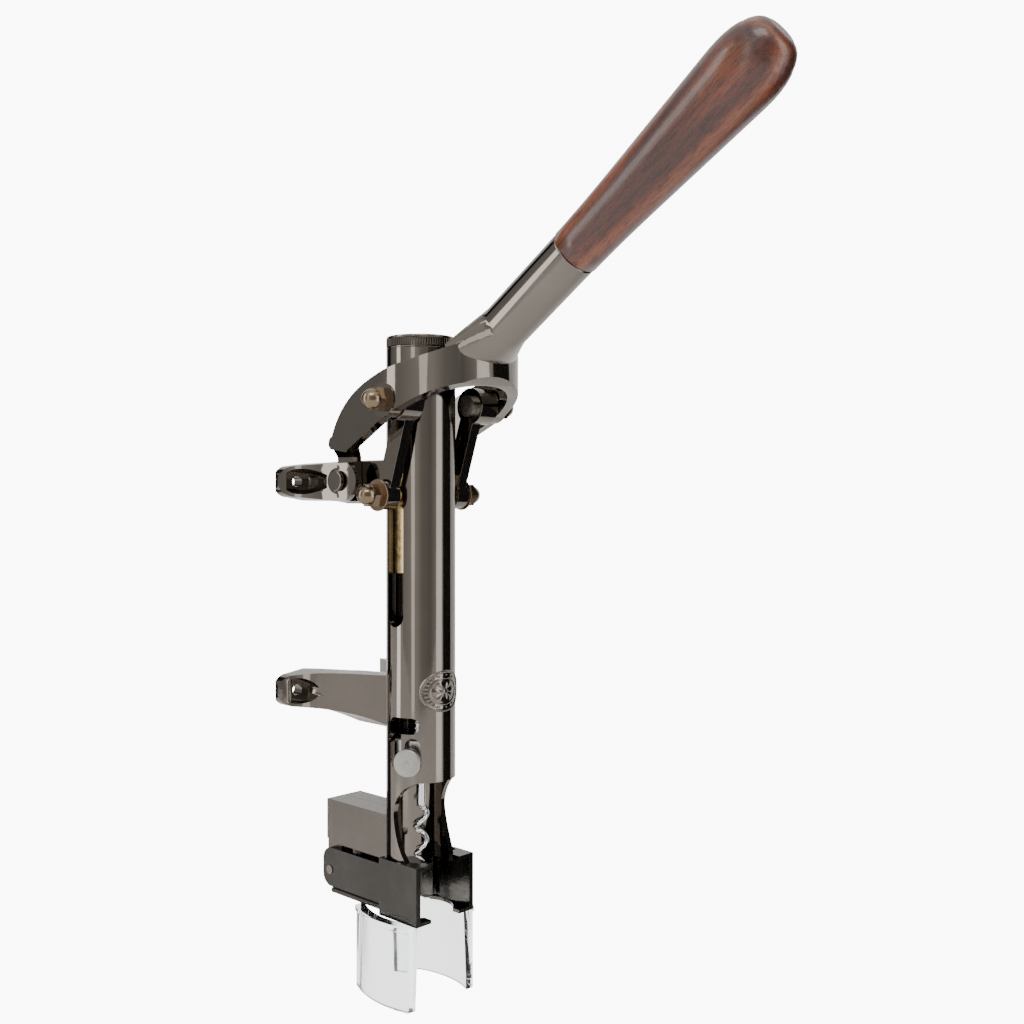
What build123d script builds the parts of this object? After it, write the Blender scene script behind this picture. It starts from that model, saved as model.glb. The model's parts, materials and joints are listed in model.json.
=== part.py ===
from build123d import *

import os
from math import cos, radians, sin

# Wall-mounted lever corkscrew, millimetres, +Z up.
# Origin: on the wall plane, in the middle of the four wall-screw holes. The object stands in front
# of the wall, towards -Y, and the tube's axis is upright. It is modelled with the lever at its upper stop.
# Offsets "out" below are measured from the tube's axis towards the wall (+Y), heights are from the origin.

# ---- driving dimensions -------------------------------------------------------------------------
stand_off = 58.0          # wall to tube axis
hole_x = 32.0             # half the spacing of the wall screws across
hole_z = 49.4             # half their spacing in height
screw_hole_r = 2.75       # clearance hole for an M5 wall screw
pad_floor = 6.2           # metal under the screw head
pocket_w = 12.6           # pocket for the screw head
pocket_h = 12.0
pocket_shift = 1.5        # the pocket's middle lies outside the screw's, clear of the cheek

barrel_r = 16.0
barrel_wall = 2.5
barrel_top = 110.0
barrel_bottom = -128.0
cap_height = 6.0
cap_spigot = 6.0
link_slot_w = 10.0        # slots on both sides of the tube, which the carriage's trunnions run in
link_slot_low = -17.0
link_slot_high = 72.0

arm_half_h = 9.25         # arms: half height at the middle, rounded end, and flare at the root
arm_end_r = 7.5
arm_end_wall = 1.8        # metal beyond the screw-head pocket
arm_root = 12.5           # where an arm's outline starts, inside the tube's wall
dimple_at = 0.42          # small blind hole in the lower arms: how far along their front face
dimple_r = 1.75

lever_pivot_out = 27.5
lever_pivot_z = 49.6
cheek_inner = 12.0        # clevis: inner cheek starts here, measured from the plane of symmetry
cheek_outer = 27.0
tongue_mid = 20.0
tongue_t = 5.0
eye_r = 6.2
web_low = 11.5            # web between band and tongue: its heights above the pivot
web_high = 18.4
pivot_pin_r = 2.5
pin_head_r = 4.9
spot_face_r = 6.2
cheek_r = 10.0

fork_r = 35.0             # outer radius of the fork's bow
fork_t = 5.0
fork_centre_out = -14.0
fork_rear_x = 31.0
socket_r = 10.75
socket_length = 66.0
socket_blend = 47.0       # from here to its end the socket is round
socket_root_half_w = 21.0
socket_root_half_h = 9.5
handle_tilt = 34.0        # handle's rise from level, at the upper stop
grip_base_out = -94.0
grip_base_z = 142.6
grip_length = 116.0
grip_r = 11.0
grip_r_max = 14.8
tang_r = 4.0
tang_length = 76.0
tang_in_socket = 16.0

link_top_out = -14.0      # pivot of link and fork
link_top_z = 84.5
link_low_z = 43.0         # pivot of link and carriage, on the tube's axis
link_inner = barrel_r + 2
link_t = 5.5
link_w = 8.6
link_hub_r = 8.5
link_eye_r = 6.5
link_eye_t = 7.5
stud_r = 3.0
stud_head_r = 5.0
stud_head_t = 2.3
nut_flats = 10.0
nut_hex_h = 5.0
nut_dome_h = 5.5
nut_dome_r = 4.6
washer_r = 7.25
washer_t = 1.0

carriage_low = 7.0
carriage_high = 53.0
trunnion_r = 4.5
trunnion_end = barrel_r + 1.5
counterbore_r = 8.5
counterbore_floor = 41.0
shank_r = 4.0
rod_r = 4.3
rod_low = -85.0
collar_r = 6.0
collar_t = 3.0
spindle_nut_r = 7.0
spindle_nut_h = 6.0
thrust_r = 7.5
thrust_t = 1.0
shank_top = 50.0

worm_tip_z = -127.5
worm_pitch = 12.5
worm_wire_r = 1.25
worm_helix_r = 2.1
worm_shank_r = 2.2
worm_shank_low = -100.0
worm_tail = 9.0           # length of the shank inside the spindle

drive_nut_z = -77.0
drive_nut_half_h = 9.0
latch_polar = 210.0       # direction of the latch pin, from +X towards the wall
latch_swing = 29.0
upper_pocket_z = -61.4
upper_pocket_polar = 212.0
hook_polar = 214.0        # the hook of the track, forward of the pin's rest and up
hook_z = -70.5
notch_polar = 172.0       # small notch on the channel's other side
notch_z = -67.5
notch_r = 2.5
latch_pin_r = 3.5
latch_slot_w = 7.3
latch_pin_inner = barrel_r - 7.5
knob_r = 6.35
knob_inner = barrel_r + 1
knob_outer = barrel_r + 4.9

badge_half_w = 12.6
badge_half_h = 9.5
badge_z = -46.0
badge_t = 0.8

housing_half_w = 10.4
housing_front = 12.4
housing_back = 57.0
housing_top = -105.6
housing_bottom = -126.5
rib_half_t = 3.0
rib_back = 45.7
rib_top = -109.9
rib_bottom = -122.7
housing_screw_outs = (25.0, 40.0)
housing_screw_z = -116.0
housing_screw_r = 1.6
housing_screw_head_r = 3.2
housing_screw_head_t = 2.0
lug_half_inner = 2.6
lug_half_outer = 9.7
lug_front = 46.5
lug_bottom = -145.5

frame_pin_out = 52.0
frame_pin_z = -139.0
frame_pin_r = 2.2
frame_rear_half_w = 12.5
frame_front_half_w = 17.7
sheet_t = 2.5
frame_back = 57.3
frame_front = -16.6
frame_high_front = -123.0
frame_high_rear = -128.3
frame_low_rear = -147.0
frame_low = -149.3
frame_joggle_out = (9.0, 14.0)
frame_flange = 8.7
flange_t = 1.6
frame_gap = 0.9           # between the tube's end and the frame
seat_inner_r = 14.2
seat_t = 1.4
neck_r = 15.0             # room for the bottle's neck
seat_top = -128.6
spring_coil_r = 3.4
spring_wire_r = 0.5

guide_height = 38.0
guide_opening_r = 41.0
guide_opening_half = 18.0
guide_flare = 1.6
guide_front = -14.0
guide_back = 28.0
guide_rim_t = 2.4

running = 0.05            # radial clearance of a pin in its hole
clear = 0.3               # clearance of pieces that pass each other

# ---- sizes worked out from them -----------------------------------------------------------------
axis_y = -stand_off
bore_r = barrel_r - barrel_wall
piston_r = bore_r - clear
handle_dir = (-cos(radians(handle_tilt)), sin(radians(handle_tilt)))
fork_inner_r = fork_r - fork_t
hub_end = fork_inner_r - 1.7
washer_face = link_inner + link_eye_t
link_nut_face = washer_face + washer_t
fork_nut_face = fork_r + 0.3


def level(z):
    """A level plane at height z with its centre on the tube's axis."""
    return Plane(origin=(0, axis_y, z))


def side_view(x):
    """An upright plane across X: first axis from the tube's axis to the wall, second axis height."""
    return Plane(origin=(x, axis_y, 0), x_dir=(0, 1, 0), z_dir=(1, 0, 0))


def spoke(polar, reach, z):
    """A plane across a line that leaves the tube's axis in the direction polar, at distance reach."""
    out = (cos(radians(polar)), sin(radians(polar)), 0)
    return Plane(origin=(reach * out[0], axis_y + reach * out[1], z), x_dir=(-out[1], out[0], 0), z_dir=out)


def along_handle(s):
    """A plane across the handle's axis, s beyond the socket's end."""
    origin = (0, axis_y + grip_base_out + s * handle_dir[0], grip_base_z + s * handle_dir[1])
    return Plane(origin=origin, x_dir=(1, 0, 0), z_dir=(0, handle_dir[0], handle_dir[1]))


def save(part, name):
    part.label = name
    export_step(part, f"parts/{name}.step")


os.makedirs("parts", exist_ok=True)

# ---- the casting: tube, arms, clevises ----------------------------------------------------------
pocket_x = hole_x + pocket_shift
pad_outer = pocket_x + pocket_w / 2 + arm_end_wall
pad_inner = hole_x - 8
slot_half = tongue_t / 2 + clear
slot_back = lever_pivot_out + eye_r + 0.4
cheek_front = lever_pivot_out - cheek_r

# plan outlines of the right arms: the front face from the tube out to the pad, and the back face in again
upper_front = Spline(
    (arm_root, 4),
    (cheek_outer - 4.5, cheek_front - 4),
    (cheek_outer, lever_pivot_out),
    (cheek_outer + 1.5, slot_back + 2),
    (cheek_outer + 6, stand_off - 12),
    (pad_outer, stand_off - 4),
)
upper_back = Spline(
    (pad_inner, stand_off), (19, 50), (cheek_inner + 1, 40), (cheek_inner, 30), (6, arm_root)
)
lower_front = Spline((arm_root, 4.5), (18, 19), (23, 31.5), (30, 45), (pad_outer, stand_off - 4))
lower_back = Spline((pad_inner, stand_off), (20.5, 50), (14.5, 35), (7, arm_root))

with BuildPart() as arms:
    for arm_z, front, back in ((hole_z, upper_front, upper_back), (-hole_z, lower_front, lower_back)):
        with BuildSketch(level(arm_z - 2 * arm_half_h)):
            with BuildLine():
                add(front)
                Polyline(front @ 1, (pad_outer - 1.5, stand_off), back @ 0)
                add(back)
                Line(back @ 1, front @ 0)
            make_face()
            mirror(about=Plane.YZ)
        extrude(amount=4 * arm_half_h)
    # their outline from the front: flared at the root, round at the end
    with BuildSketch(Plane.XZ.offset(-1)):
        for arm_z, rise, drop in ((hole_z, 10.0, 10.5), (-hole_z, 9.6, 14.5)):
            with BuildLine():
                top = Line((0, arm_z + rise), (arm_root, arm_z + rise))
                upper = Spline(
                    top @ 1, (arm_root + 6, arm_z + arm_half_h), (pad_outer - arm_end_r, arm_z + arm_end_r),
                    tangents=((1, -0.2), (1, -0.15)),
                )
                arm_end = (pad_outer - arm_end_r, arm_z - arm_end_r)
                end = ThreePointArc(upper @ 1, (pad_outer, arm_z), arm_end)
                under = Spline(
                    end @ 1, (arm_root + 9, arm_z - arm_half_h), (arm_root, arm_z - drop),
                    tangents=((-1, -0.15), (-1, -0.9)),
                )
                Polyline(under @ 1, (0, arm_z - drop), top @ 0)
            make_face()
        mirror(about=Plane.YZ)
    extrude(amount=stand_off + 2, mode=Mode.INTERSECT)

with BuildPart() as body_casting:
    with BuildSketch(level(barrel_bottom)):
        Circle(barrel_r)
    extrude(amount=barrel_top - barrel_bottom)
    add(arms.part)
    # rib for the housing shells behind the mouth
    with BuildSketch(level(rib_bottom)):
        with Locations((0, (barrel_r - 1 + rib_back) / 2)):
            Rectangle(2 * rib_half_t, rib_back - barrel_r + 1)
    extrude(amount=rib_top - rib_bottom)
    with BuildSketch(side_view(-rib_half_t - 1)):
        with Locations(*[(out, housing_screw_z) for out in housing_screw_outs]):
            Circle(housing_screw_r + running)
    extrude(amount=2 * rib_half_t + 2, mode=Mode.SUBTRACT)
    with BuildSketch(level(barrel_bottom)):
        Circle(bore_r)
    extrude(amount=barrel_top - barrel_bottom, mode=Mode.SUBTRACT)
    # slots of the tongues, open at the front; outer cheeks round about the pivot; spot faces and pin holes
    with BuildSketch(level(lever_pivot_z - 2 * arm_half_h)):
        for side in (-1, 1):
            with Locations((side * tongue_mid, slot_back / 2)):
                Rectangle(2 * slot_half, slot_back)
    extrude(amount=4 * arm_half_h, mode=Mode.SUBTRACT)
    for side in (-1, 1):
        with BuildSketch(side_view(side * (tongue_mid + slot_half - 0.1))):
            with Locations((lever_pivot_out, lever_pivot_z)):
                Rectangle(2 * cheek_r + 8, 4 * arm_half_h, align=(Align.MAX, Align.CENTER))
                Circle(cheek_r, mode=Mode.SUBTRACT)
        extrude(amount=side * 10, mode=Mode.SUBTRACT)
        with BuildSketch(side_view(side * cheek_outer)):
            with Locations((lever_pivot_out, lever_pivot_z)):
                Circle(spot_face_r)
        extrude(amount=side * 20, mode=Mode.SUBTRACT)
    with BuildSketch(side_view(-cheek_outer - 1)):
        with Locations((lever_pivot_out, lever_pivot_z)):
            Circle(pivot_pin_r + running)
    extrude(amount=2 * cheek_outer + 2, mode=Mode.SUBTRACT)
    # slots for the trunnions
    with BuildSketch(side_view(0)):
        with Locations((0, (link_slot_low + link_slot_high) / 2)):
            SlotOverall(link_slot_high - link_slot_low, link_slot_w, rotation=90)
    extrude(amount=barrel_r + 1, both=True, mode=Mode.SUBTRACT)
    # wall-screw pockets and holes
    with BuildSketch(Plane.XZ.offset(pad_floor)):
        with GridLocations(2 * pocket_x, 2 * hole_z, 2, 2):
            SlotOverall(pocket_w, pocket_h)
    extrude(amount=stand_off - slot_back - pad_floor, mode=Mode.SUBTRACT)
    with BuildSketch(Plane.XZ.offset(-1)):
        with GridLocations(2 * hole_x, 2 * hole_z, 2, 2):
            Circle(screw_hole_r)
    extrude(amount=pad_floor + 2, mode=Mode.SUBTRACT)
    # small blind holes in the lower arms
    dimple = lower_front @ dimple_at
    along = lower_front % dimple_at
    for side in (-1, 1):
        middle = (side * dimple.X, axis_y + dimple.Y, -hole_z)
        mouth = Plane(origin=middle, z_dir=(side * along.Y, -along.X, 0))
        with BuildSketch(mouth):
            Circle(dimple_r)
        extrude(amount=-4, mode=Mode.SUBTRACT)
    # window over the worm, open downwards: its edge runs back past the axis and forward to the tab
    with BuildSketch(side_view(-barrel_r - 1)):
        with BuildLine():
            brow = Line((-barrel_r - 2, barrel_bottom + 41), (-11, barrel_bottom + 41))
            upper = ThreePointArc(brow @ 1, (-2.7, barrel_bottom + 35.2), (0.8, barrel_bottom + 25))
            lower = ThreePointArc(upper @ 1, (-2.0, barrel_bottom + 13), (-6.4, barrel_bottom + 4))
            Polyline(lower @ 1, (-6.4, barrel_bottom - 1), (-barrel_r - 2, barrel_bottom - 1), brow @ 0)
        make_face()
    extrude(amount=2 * barrel_r + 2, mode=Mode.SUBTRACT)
    # the latch's track: two level pockets joined by an upright channel, and a hook where the pin rests
    track_end = latch_polar - latch_swing
    for pocket_z, pocket_polar in ((drive_nut_z, latch_polar), (upper_pocket_z, upper_pocket_polar)):
        with BuildSketch(level(pocket_z - latch_slot_w / 2)):
            with BuildLine():
                far = 2 * barrel_r
                Polyline(
                    (0, 0),
                    (far * cos(radians(track_end)), far * sin(radians(track_end))),
                    (far * cos(radians(pocket_polar)), far * sin(radians(pocket_polar))),
                    close=True,
                )
            make_face()
        extrude(amount=latch_slot_w, mode=Mode.SUBTRACT)
        with BuildSketch(spoke(pocket_polar, 0, pocket_z)):
            Circle(latch_slot_w / 2)
        extrude(amount=barrel_r + 1, mode=Mode.SUBTRACT)
    for channel_polar, channel_low, channel_high in (
        (track_end, drive_nut_z, upper_pocket_z),
        (hook_polar, drive_nut_z, hook_z),
    ):
        with BuildSketch(spoke(channel_polar, 0, (channel_low + channel_high) / 2)):
            SlotCenterToCenter(channel_high - channel_low, latch_slot_w, rotation=90)
        extrude(amount=barrel_r + 1, mode=Mode.SUBTRACT)
    with BuildSketch(spoke(notch_polar, 0, notch_z)):
        Circle(notch_r)
    extrude(amount=barrel_r + 1, mode=Mode.SUBTRACT)
save(body_casting.part, "body_casting")

with BuildPart() as top_cap:
    with BuildSketch(level(barrel_top)):
        Circle(barrel_r)
    extrude(amount=cap_height)
    fillet(top_cap.faces().sort_by(Axis.Z)[-1].edges(), radius=1.2)
    with BuildSketch(level(barrel_top - cap_spigot)):
        Circle(bore_r - running)
        Circle(bore_r - 3, mode=Mode.SUBTRACT)
    extrude(amount=cap_spigot)
save(top_cap.part, "top_cap")

with BuildPart() as front_badge:
    with BuildSketch(level(badge_z - badge_half_h)):
        Circle(barrel_r + badge_t)
        Circle(barrel_r, mode=Mode.SUBTRACT)
    extrude(amount=2 * badge_half_h)
    with BuildSketch(Plane.XZ.offset(stand_off)):
        with Locations((0, badge_z)):
            Ellipse(badge_half_w, badge_half_h)
    extrude(amount=2 * barrel_r, mode=Mode.INTERSECT)
save(front_badge.part, "front_badge")

# ---- the block behind the mouth: two shells on the rib, with lugs for the frame's pin ----------
for side, name in ((-1, "rear_housing_left"), (1, "rear_housing_right")):
    with BuildPart() as shell:
        with BuildSketch(level(housing_bottom)):
            with Locations((side * (housing_half_w + running) / 2, (housing_front + housing_back) / 2)):
                Rectangle(housing_half_w - running, housing_back - housing_front)
            Circle(barrel_r + 0.1, mode=Mode.SUBTRACT)
        extrude(amount=housing_top - housing_bottom)
        with BuildSketch(side_view(side * lug_half_inner)):
            with Locations((lug_front, lug_bottom)):
                lug_size = (housing_back - lug_front, housing_bottom - lug_bottom + 1)
                Rectangle(*lug_size, align=(Align.MIN, Align.MIN))
        extrude(amount=side * (lug_half_outer - lug_half_inner))
        with BuildSketch(side_view(0)):
            with Locations((0, rib_bottom - 0.1)):
                Rectangle(rib_back + 0.2, rib_top - rib_bottom + 0.2, align=(Align.MIN, Align.MIN))
        extrude(amount=side * (rib_half_t + running), mode=Mode.SUBTRACT)
        with BuildSketch(side_view(0)):
            with Locations((frame_pin_out, frame_pin_z)):
                Circle(frame_pin_r + running)
        extrude(amount=side * (housing_half_w + 1), mode=Mode.SUBTRACT)
        with BuildSketch(side_view(0)):
            with Locations(*[(out, housing_screw_z) for out in housing_screw_outs]):
                Circle(housing_screw_r + running)
        screw_depth = housing_half_w + 1 if side > 0 else housing_half_w - 3
        extrude(amount=side * screw_depth, mode=Mode.SUBTRACT)
        if side > 0:
            with BuildSketch(side_view(housing_half_w - housing_screw_head_t)):
                with Locations(*[(out, housing_screw_z) for out in housing_screw_outs]):
                    Circle(housing_screw_head_r + 0.2)
            extrude(amount=housing_screw_head_t + 1, mode=Mode.SUBTRACT)
        else:
            with BuildSketch(side_view(-housing_half_w)):
                with Locations((housing_back - 7, housing_bottom)):
                    Rectangle(8, 1.6, align=(Align.MIN, Align.MIN))
            extrude(amount=0.7, mode=Mode.SUBTRACT)
    save(shell.part, name)

with BuildPart() as housing_screws:
    for out in housing_screw_outs:
        with BuildSketch(side_view(housing_half_w - housing_screw_head_t)):
            with Locations((out, housing_screw_z)):
                Circle(housing_screw_head_r)
        extrude(amount=housing_screw_head_t - 0.2)
        with BuildSketch(side_view(housing_half_w - housing_screw_head_t)):
            with Locations((out, housing_screw_z)):
                Circle(housing_screw_r)
        extrude(amount=-(2 * housing_half_w - housing_screw_head_t - 4))
save(housing_screws.part, "housing_screws")

with BuildPart() as lever_pivot_pins:
    for side in (-1, 1):
        with BuildSketch(side_view(side * (cheek_inner + clear))):
            with Locations((lever_pivot_out, lever_pivot_z)):
                Circle(pivot_pin_r)
        extrude(amount=side * (cheek_outer - cheek_inner))
        with BuildSketch(side_view(side * (cheek_outer + running))):
            with Locations((lever_pivot_out, lever_pivot_z)):
                Circle(pin_head_r)
        extrude(amount=side * 2)
save(lever_pivot_pins.part, "lever_pivot_pins")

with BuildPart() as frame_hinge_pin:
    with BuildSketch(side_view(-frame_rear_half_w - 0.4)):
        with Locations((frame_pin_out, frame_pin_z)):
            Circle(frame_pin_r)
    extrude(amount=2 * frame_rear_half_w + 0.8)
save(frame_hinge_pin.part, "frame_hinge_pin")

# torsion spring between the lugs: coil round the pin, one arm up against the shells, one down on the plate
coil_half = lug_half_inner - clear - spring_wire_r
coil_turns = 3
coil_pitch = 2 * coil_half / coil_turns
with BuildPart() as frame_spring:
    with BuildLine():
        coil_start = (-coil_half, axis_y + frame_pin_out, frame_pin_z)
        coil = Helix(coil_pitch, 2 * coil_half, spring_coil_r, center=coil_start, direction=(1, 0, 0))
    with BuildSketch(Plane(origin=coil @ 0, z_dir=coil % 0)):
        Circle(spring_wire_r)
    sweep(path=coil, is_frenet=True)
    for end, reach in ((0, -1), (1, 1)):
        with BuildSketch(Plane(origin=coil @ end, z_dir=coil % end)):
            Circle(spring_wire_r)
        extrude(amount=reach * 7.0)
save(frame_spring.part, "frame_spring")

# ---- lever --------------------------------------------------------------------------------------
fork_low_z = link_top_z - 28
fork_high_z = link_top_z + 34

with BuildPart() as socket:
    with BuildSketch(along_handle(-socket_blend)):
        Circle(socket_r)
    extrude(amount=socket_blend)
    fillet(socket.edges().filter_by(GeomType.CIRCLE).sort_by(Axis.Y)[0], radius=0.8)
    # its root spreads sideways into the bow
    with BuildSketch(along_handle(-socket_length)):
        Ellipse(socket_root_half_w, socket_root_half_h)
    with BuildSketch(along_handle(-socket_blend)):
        Circle(socket_r)
    loft()
    with BuildSketch(along_handle(0)):
        Circle(tang_r + running)
    extrude(amount=-tang_in_socket, mode=Mode.SUBTRACT)
    with BuildSketch(level(fork_low_z)):
        with Locations((0, fork_centre_out)):
            Circle(fork_inner_r + 1)
    extrude(amount=fork_high_z - fork_low_z, mode=Mode.SUBTRACT)

with BuildPart() as lever_fork:
    with BuildSketch(level(fork_low_z)):
        with BuildLine():
            rear = lever_pivot_out + 3
            bow = ThreePointArc(
                (fork_r, fork_centre_out), (0, fork_centre_out - fork_r), (-fork_r, fork_centre_out)
            )
            rear_inner = fork_rear_x - fork_t
            left_end = (-fork_inner_r, fork_centre_out)
            right_end = (fork_inner_r, fork_centre_out)
            Polyline(bow @ 1, (-fork_rear_x, rear), (-rear_inner, rear), left_end)
            ThreePointArc(left_end, (0, fork_centre_out - fork_inner_r), right_end)
            Polyline(right_end, (rear_inner, rear), (fork_rear_x, rear), bow @ 0)
        make_face()
    extrude(amount=fork_high_z - fork_low_z)
    # the band's outline from the side, from the pivot end forward to the tall bow
    with BuildSketch(side_view(-fork_r - 1)) as band:
        with BuildLine():
            top_edge = Spline(
                (lever_pivot_out - 1, lever_pivot_z + 20.3),
                (3.3, link_top_z + 7.1),
                (-18.4, link_top_z + 14.2),
                (-30, link_top_z + 17.5),
                (-38, link_top_z + 20.5),
                (-44, link_top_z + 23.5),
                (-fork_r - 17, link_top_z + 28),
            )
            low_edge = Polyline(
                top_edge @ 1,
                (-fork_r - 17, link_top_z + 9.9),
                (-49, link_top_z + 9.9),
                (-45, link_top_z + 6.7),
                (-35, link_top_z + 2.7),
                (lever_pivot_out - 12, lever_pivot_z + 12.9),
                (lever_pivot_out - 2, lever_pivot_z + 14.3),
            )
            ThreePointArc(low_edge @ 1, (lever_pivot_out + 1.6, lever_pivot_z + 17), top_edge @ 0)
        make_face()
    extrude(amount=2 * fork_r + 2, mode=Mode.INTERSECT)
    for side in (-1, 1):
        # boss for the link's stud, flat for the link's hub inside and for the nut outside
        with BuildSketch(side_view(side * (hub_end + clear))):
            with Locations((link_top_out, link_top_z)):
                Circle(nut_flats / 2 + 2.5)
        extrude(amount=side * (fork_nut_face - hub_end - clear))
        # tongue round the pivot pin, and the web that runs inwards to it from the end of the band
        with BuildSketch(side_view(side * (tongue_mid - tongue_t / 2))):
            with Locations((lever_pivot_out, lever_pivot_z)):
                Circle(eye_r)
                Rectangle(2 * eye_r - 1, web_low, align=(Align.CENTER, Align.MIN))
        extrude(amount=side * tongue_t)
        with BuildSketch(level(lever_pivot_z + web_low - 0.5)):
            with Locations((side * tongue_mid, lever_pivot_out)):
                Rectangle(tongue_t, 2 * eye_r - 1)
        with BuildSketch(level(lever_pivot_z + web_high)):
            with Locations((side * (fork_rear_x - fork_t / 2 - 0.3), lever_pivot_out - 5.5)):
                Rectangle(fork_t, 15)
        loft()
    add(socket.part)
    for hole_out, height, radius in (
        (lever_pivot_out, lever_pivot_z, pivot_pin_r),
        (link_top_out, link_top_z, stud_r),
    ):
        with BuildSketch(side_view(-fork_r - 2)):
            with Locations((hole_out, height)):
                Circle(radius + running)
        extrude(amount=2 * fork_r + 4, mode=Mode.SUBTRACT)
save(lever_fork.part, "lever_fork")

with BuildPart() as handle_tang:
    with BuildSketch(along_handle(running - tang_in_socket)):
        Circle(tang_r)
    extrude(amount=tang_length)
save(handle_tang.part, "handle_tang")

with BuildPart() as handle_grip:
    # half of the grip's section: first axis across the handle, second along it
    across_handle = (0, -handle_dir[1], handle_dir[0])
    with BuildSketch(Plane(origin=along_handle(0).origin, x_dir=(1, 0, 0), z_dir=across_handle)):
        with BuildLine():
            butt = Line((0, running), (grip_r, running))
            belly = Spline(
                butt @ 1,
                (grip_r + 0.3, 18),
                (grip_r + 2.0, 55),
                (grip_r_max, grip_length - 26),
                (grip_r_max - 1.6, grip_length - 8),
                (grip_r_max - 6.5, grip_length - 1.2),
                (0, grip_length),
                tangents=((0, 1), (-1, 0)),
            )
            Line(belly @ 1, butt @ 0)
        make_face()
    revolve(axis=Axis(along_handle(0).origin, (0, handle_dir[0], handle_dir[1])))
    with BuildSketch(along_handle(0)):
        Circle(tang_r + running)
    extrude(amount=tang_length - tang_in_socket + 1, mode=Mode.SUBTRACT)
save(handle_grip.part, "handle_grip")


def acorn_nuts(face, out, height, name):
    """Two acorn nuts on studs, with their flat faces at distance face from the plane of symmetry."""
    with BuildPart() as nuts:
        for side in (-1, 1):
            with BuildSketch(side_view(side * face)):
                with Locations((out, height)):
                    RegularPolygon(nut_flats / 2, 6, major_radius=False)
            extrude(amount=side * nut_hex_h)
            with BuildSketch(Plane(origin=(side * (face + nut_hex_h), axis_y + out, height),
                                   x_dir=(side, 0, 0), z_dir=(0, 1, 0))):
                with BuildLine():
                    base = Line((0, 0), (0, nut_dome_r))
                    dome = Spline(base @ 1, (nut_dome_h * 0.72, nut_dome_r * 0.7), (nut_dome_h, 0),
                                  tangents=((1, 0), (0, -1)))
                    Line(dome @ 1, base @ 0)
                make_face()
            revolve(axis=Axis((0, axis_y + out, height), (1, 0, 0)))
            with BuildSketch(side_view(side * face)):
                with Locations((out, height)):
                    Circle(stud_r + running)
            extrude(amount=side * (nut_hex_h + 1), mode=Mode.SUBTRACT)
    save(nuts.part, name)


def studs(start, end, head, out, height, name):
    """Two studs through the links, with a head towards the tube where there is room for one."""
    with BuildPart() as pair:
        for side in (-1, 1):
            with BuildSketch(side_view(side * start)):
                with Locations((out, height)):
                    Circle(stud_r)
            extrude(amount=side * (end - start))
            if head:
                with BuildSketch(side_view(side * start)):
                    with Locations((out, height)):
                        Circle(stud_head_r)
                extrude(amount=side * stud_head_t)
    save(pair.part, name)


upper_stud_start = link_inner - stud_head_t - running
studs(upper_stud_start, fork_nut_face + nut_hex_h, True, link_top_out, link_top_z, "upper_link_studs")
acorn_nuts(fork_nut_face, link_top_out, link_top_z, "upper_acorn_nuts")

# ---- links --------------------------------------------------------------------------------------
for side, name in ((-1, "link_left"), (1, "link_right")):
    with BuildPart() as link:
        middle = (link_top_out / 2, (link_top_z + link_low_z) / 2)
        with BuildSketch(side_view(side * link_inner)):
            SlotCenterPoint(middle, (0, link_low_z), link_w)
        extrude(amount=side * link_t)
        for out, height, outer, thickness in (
            (link_top_out, link_top_z, link_hub_r, hub_end - link_inner),
            (0, link_low_z, link_eye_r, link_eye_t),
        ):
            with BuildSketch(side_view(side * link_inner)):
                with Locations((out, height)):
                    Circle(outer)
            extrude(amount=side * thickness)
            with BuildSketch(side_view(side * (link_inner - 1))):
                with Locations((out, height)):
                    Circle(stud_r + running)
            extrude(amount=side * (thickness + 2), mode=Mode.SUBTRACT)
    save(link.part, name)

studs(link_inner, link_nut_face + nut_hex_h, False, 0, link_low_z, "lower_link_studs")
acorn_nuts(link_nut_face, 0, link_low_z, "lower_acorn_nuts")

with BuildPart() as lower_washers:
    for side in (-1, 1):
        with BuildSketch(side_view(side * washer_face)):
            with Locations((0, link_low_z)):
                Circle(washer_r)
                Circle(stud_r + running, mode=Mode.SUBTRACT)
        extrude(amount=side * washer_t)
save(lower_washers.part, "lower_washers")

# ---- carriage -----------------------------------------------------------------------------------
with BuildPart() as carriage:
    with BuildSketch(level(carriage_low)):
        Circle(piston_r)
    extrude(amount=carriage_high - carriage_low)
    chamfer(carriage.edges().filter_by(GeomType.CIRCLE), length=0.6)
    with BuildSketch(side_view(-trunnion_end)):
        with Locations((0, link_low_z)):
            Circle(trunnion_r)
    extrude(amount=2 * trunnion_end)
    with BuildSketch(level(counterbore_floor)):
        Circle(counterbore_r)
    extrude(amount=carriage_high - counterbore_floor, mode=Mode.SUBTRACT)
    with BuildSketch(level(carriage_low)):
        Circle(shank_r + running)
    extrude(amount=carriage_high - carriage_low, mode=Mode.SUBTRACT)
save(carriage.part, "carriage")

for name, washer_z in (
    ("upper_thrust_washer", counterbore_floor),
    ("lower_thrust_washer", carriage_low - thrust_t),
):
    with BuildPart() as thrust_washer:
        with BuildSketch(level(washer_z)):
            Circle(thrust_r)
            Circle(shank_r + running, mode=Mode.SUBTRACT)
        extrude(amount=thrust_t)
    save(thrust_washer.part, name)

# ---- spindle and worm ---------------------------------------------------------------------------
collar_top = carriage_low - thrust_t - running
with BuildPart() as spindle:
    for radius, low, high in (
        (shank_r, collar_top, shank_top),
        (collar_r, collar_top - collar_t, collar_top),
        (rod_r, rod_low, collar_top - collar_t),
    ):
        with BuildSketch(level(low)):
            Circle(radius)
        extrude(amount=high - low)
    with BuildSketch(level(rod_low)):
        Circle(worm_shank_r + running)
    extrude(amount=worm_tail, mode=Mode.SUBTRACT)
save(spindle.part, "spindle")

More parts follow.
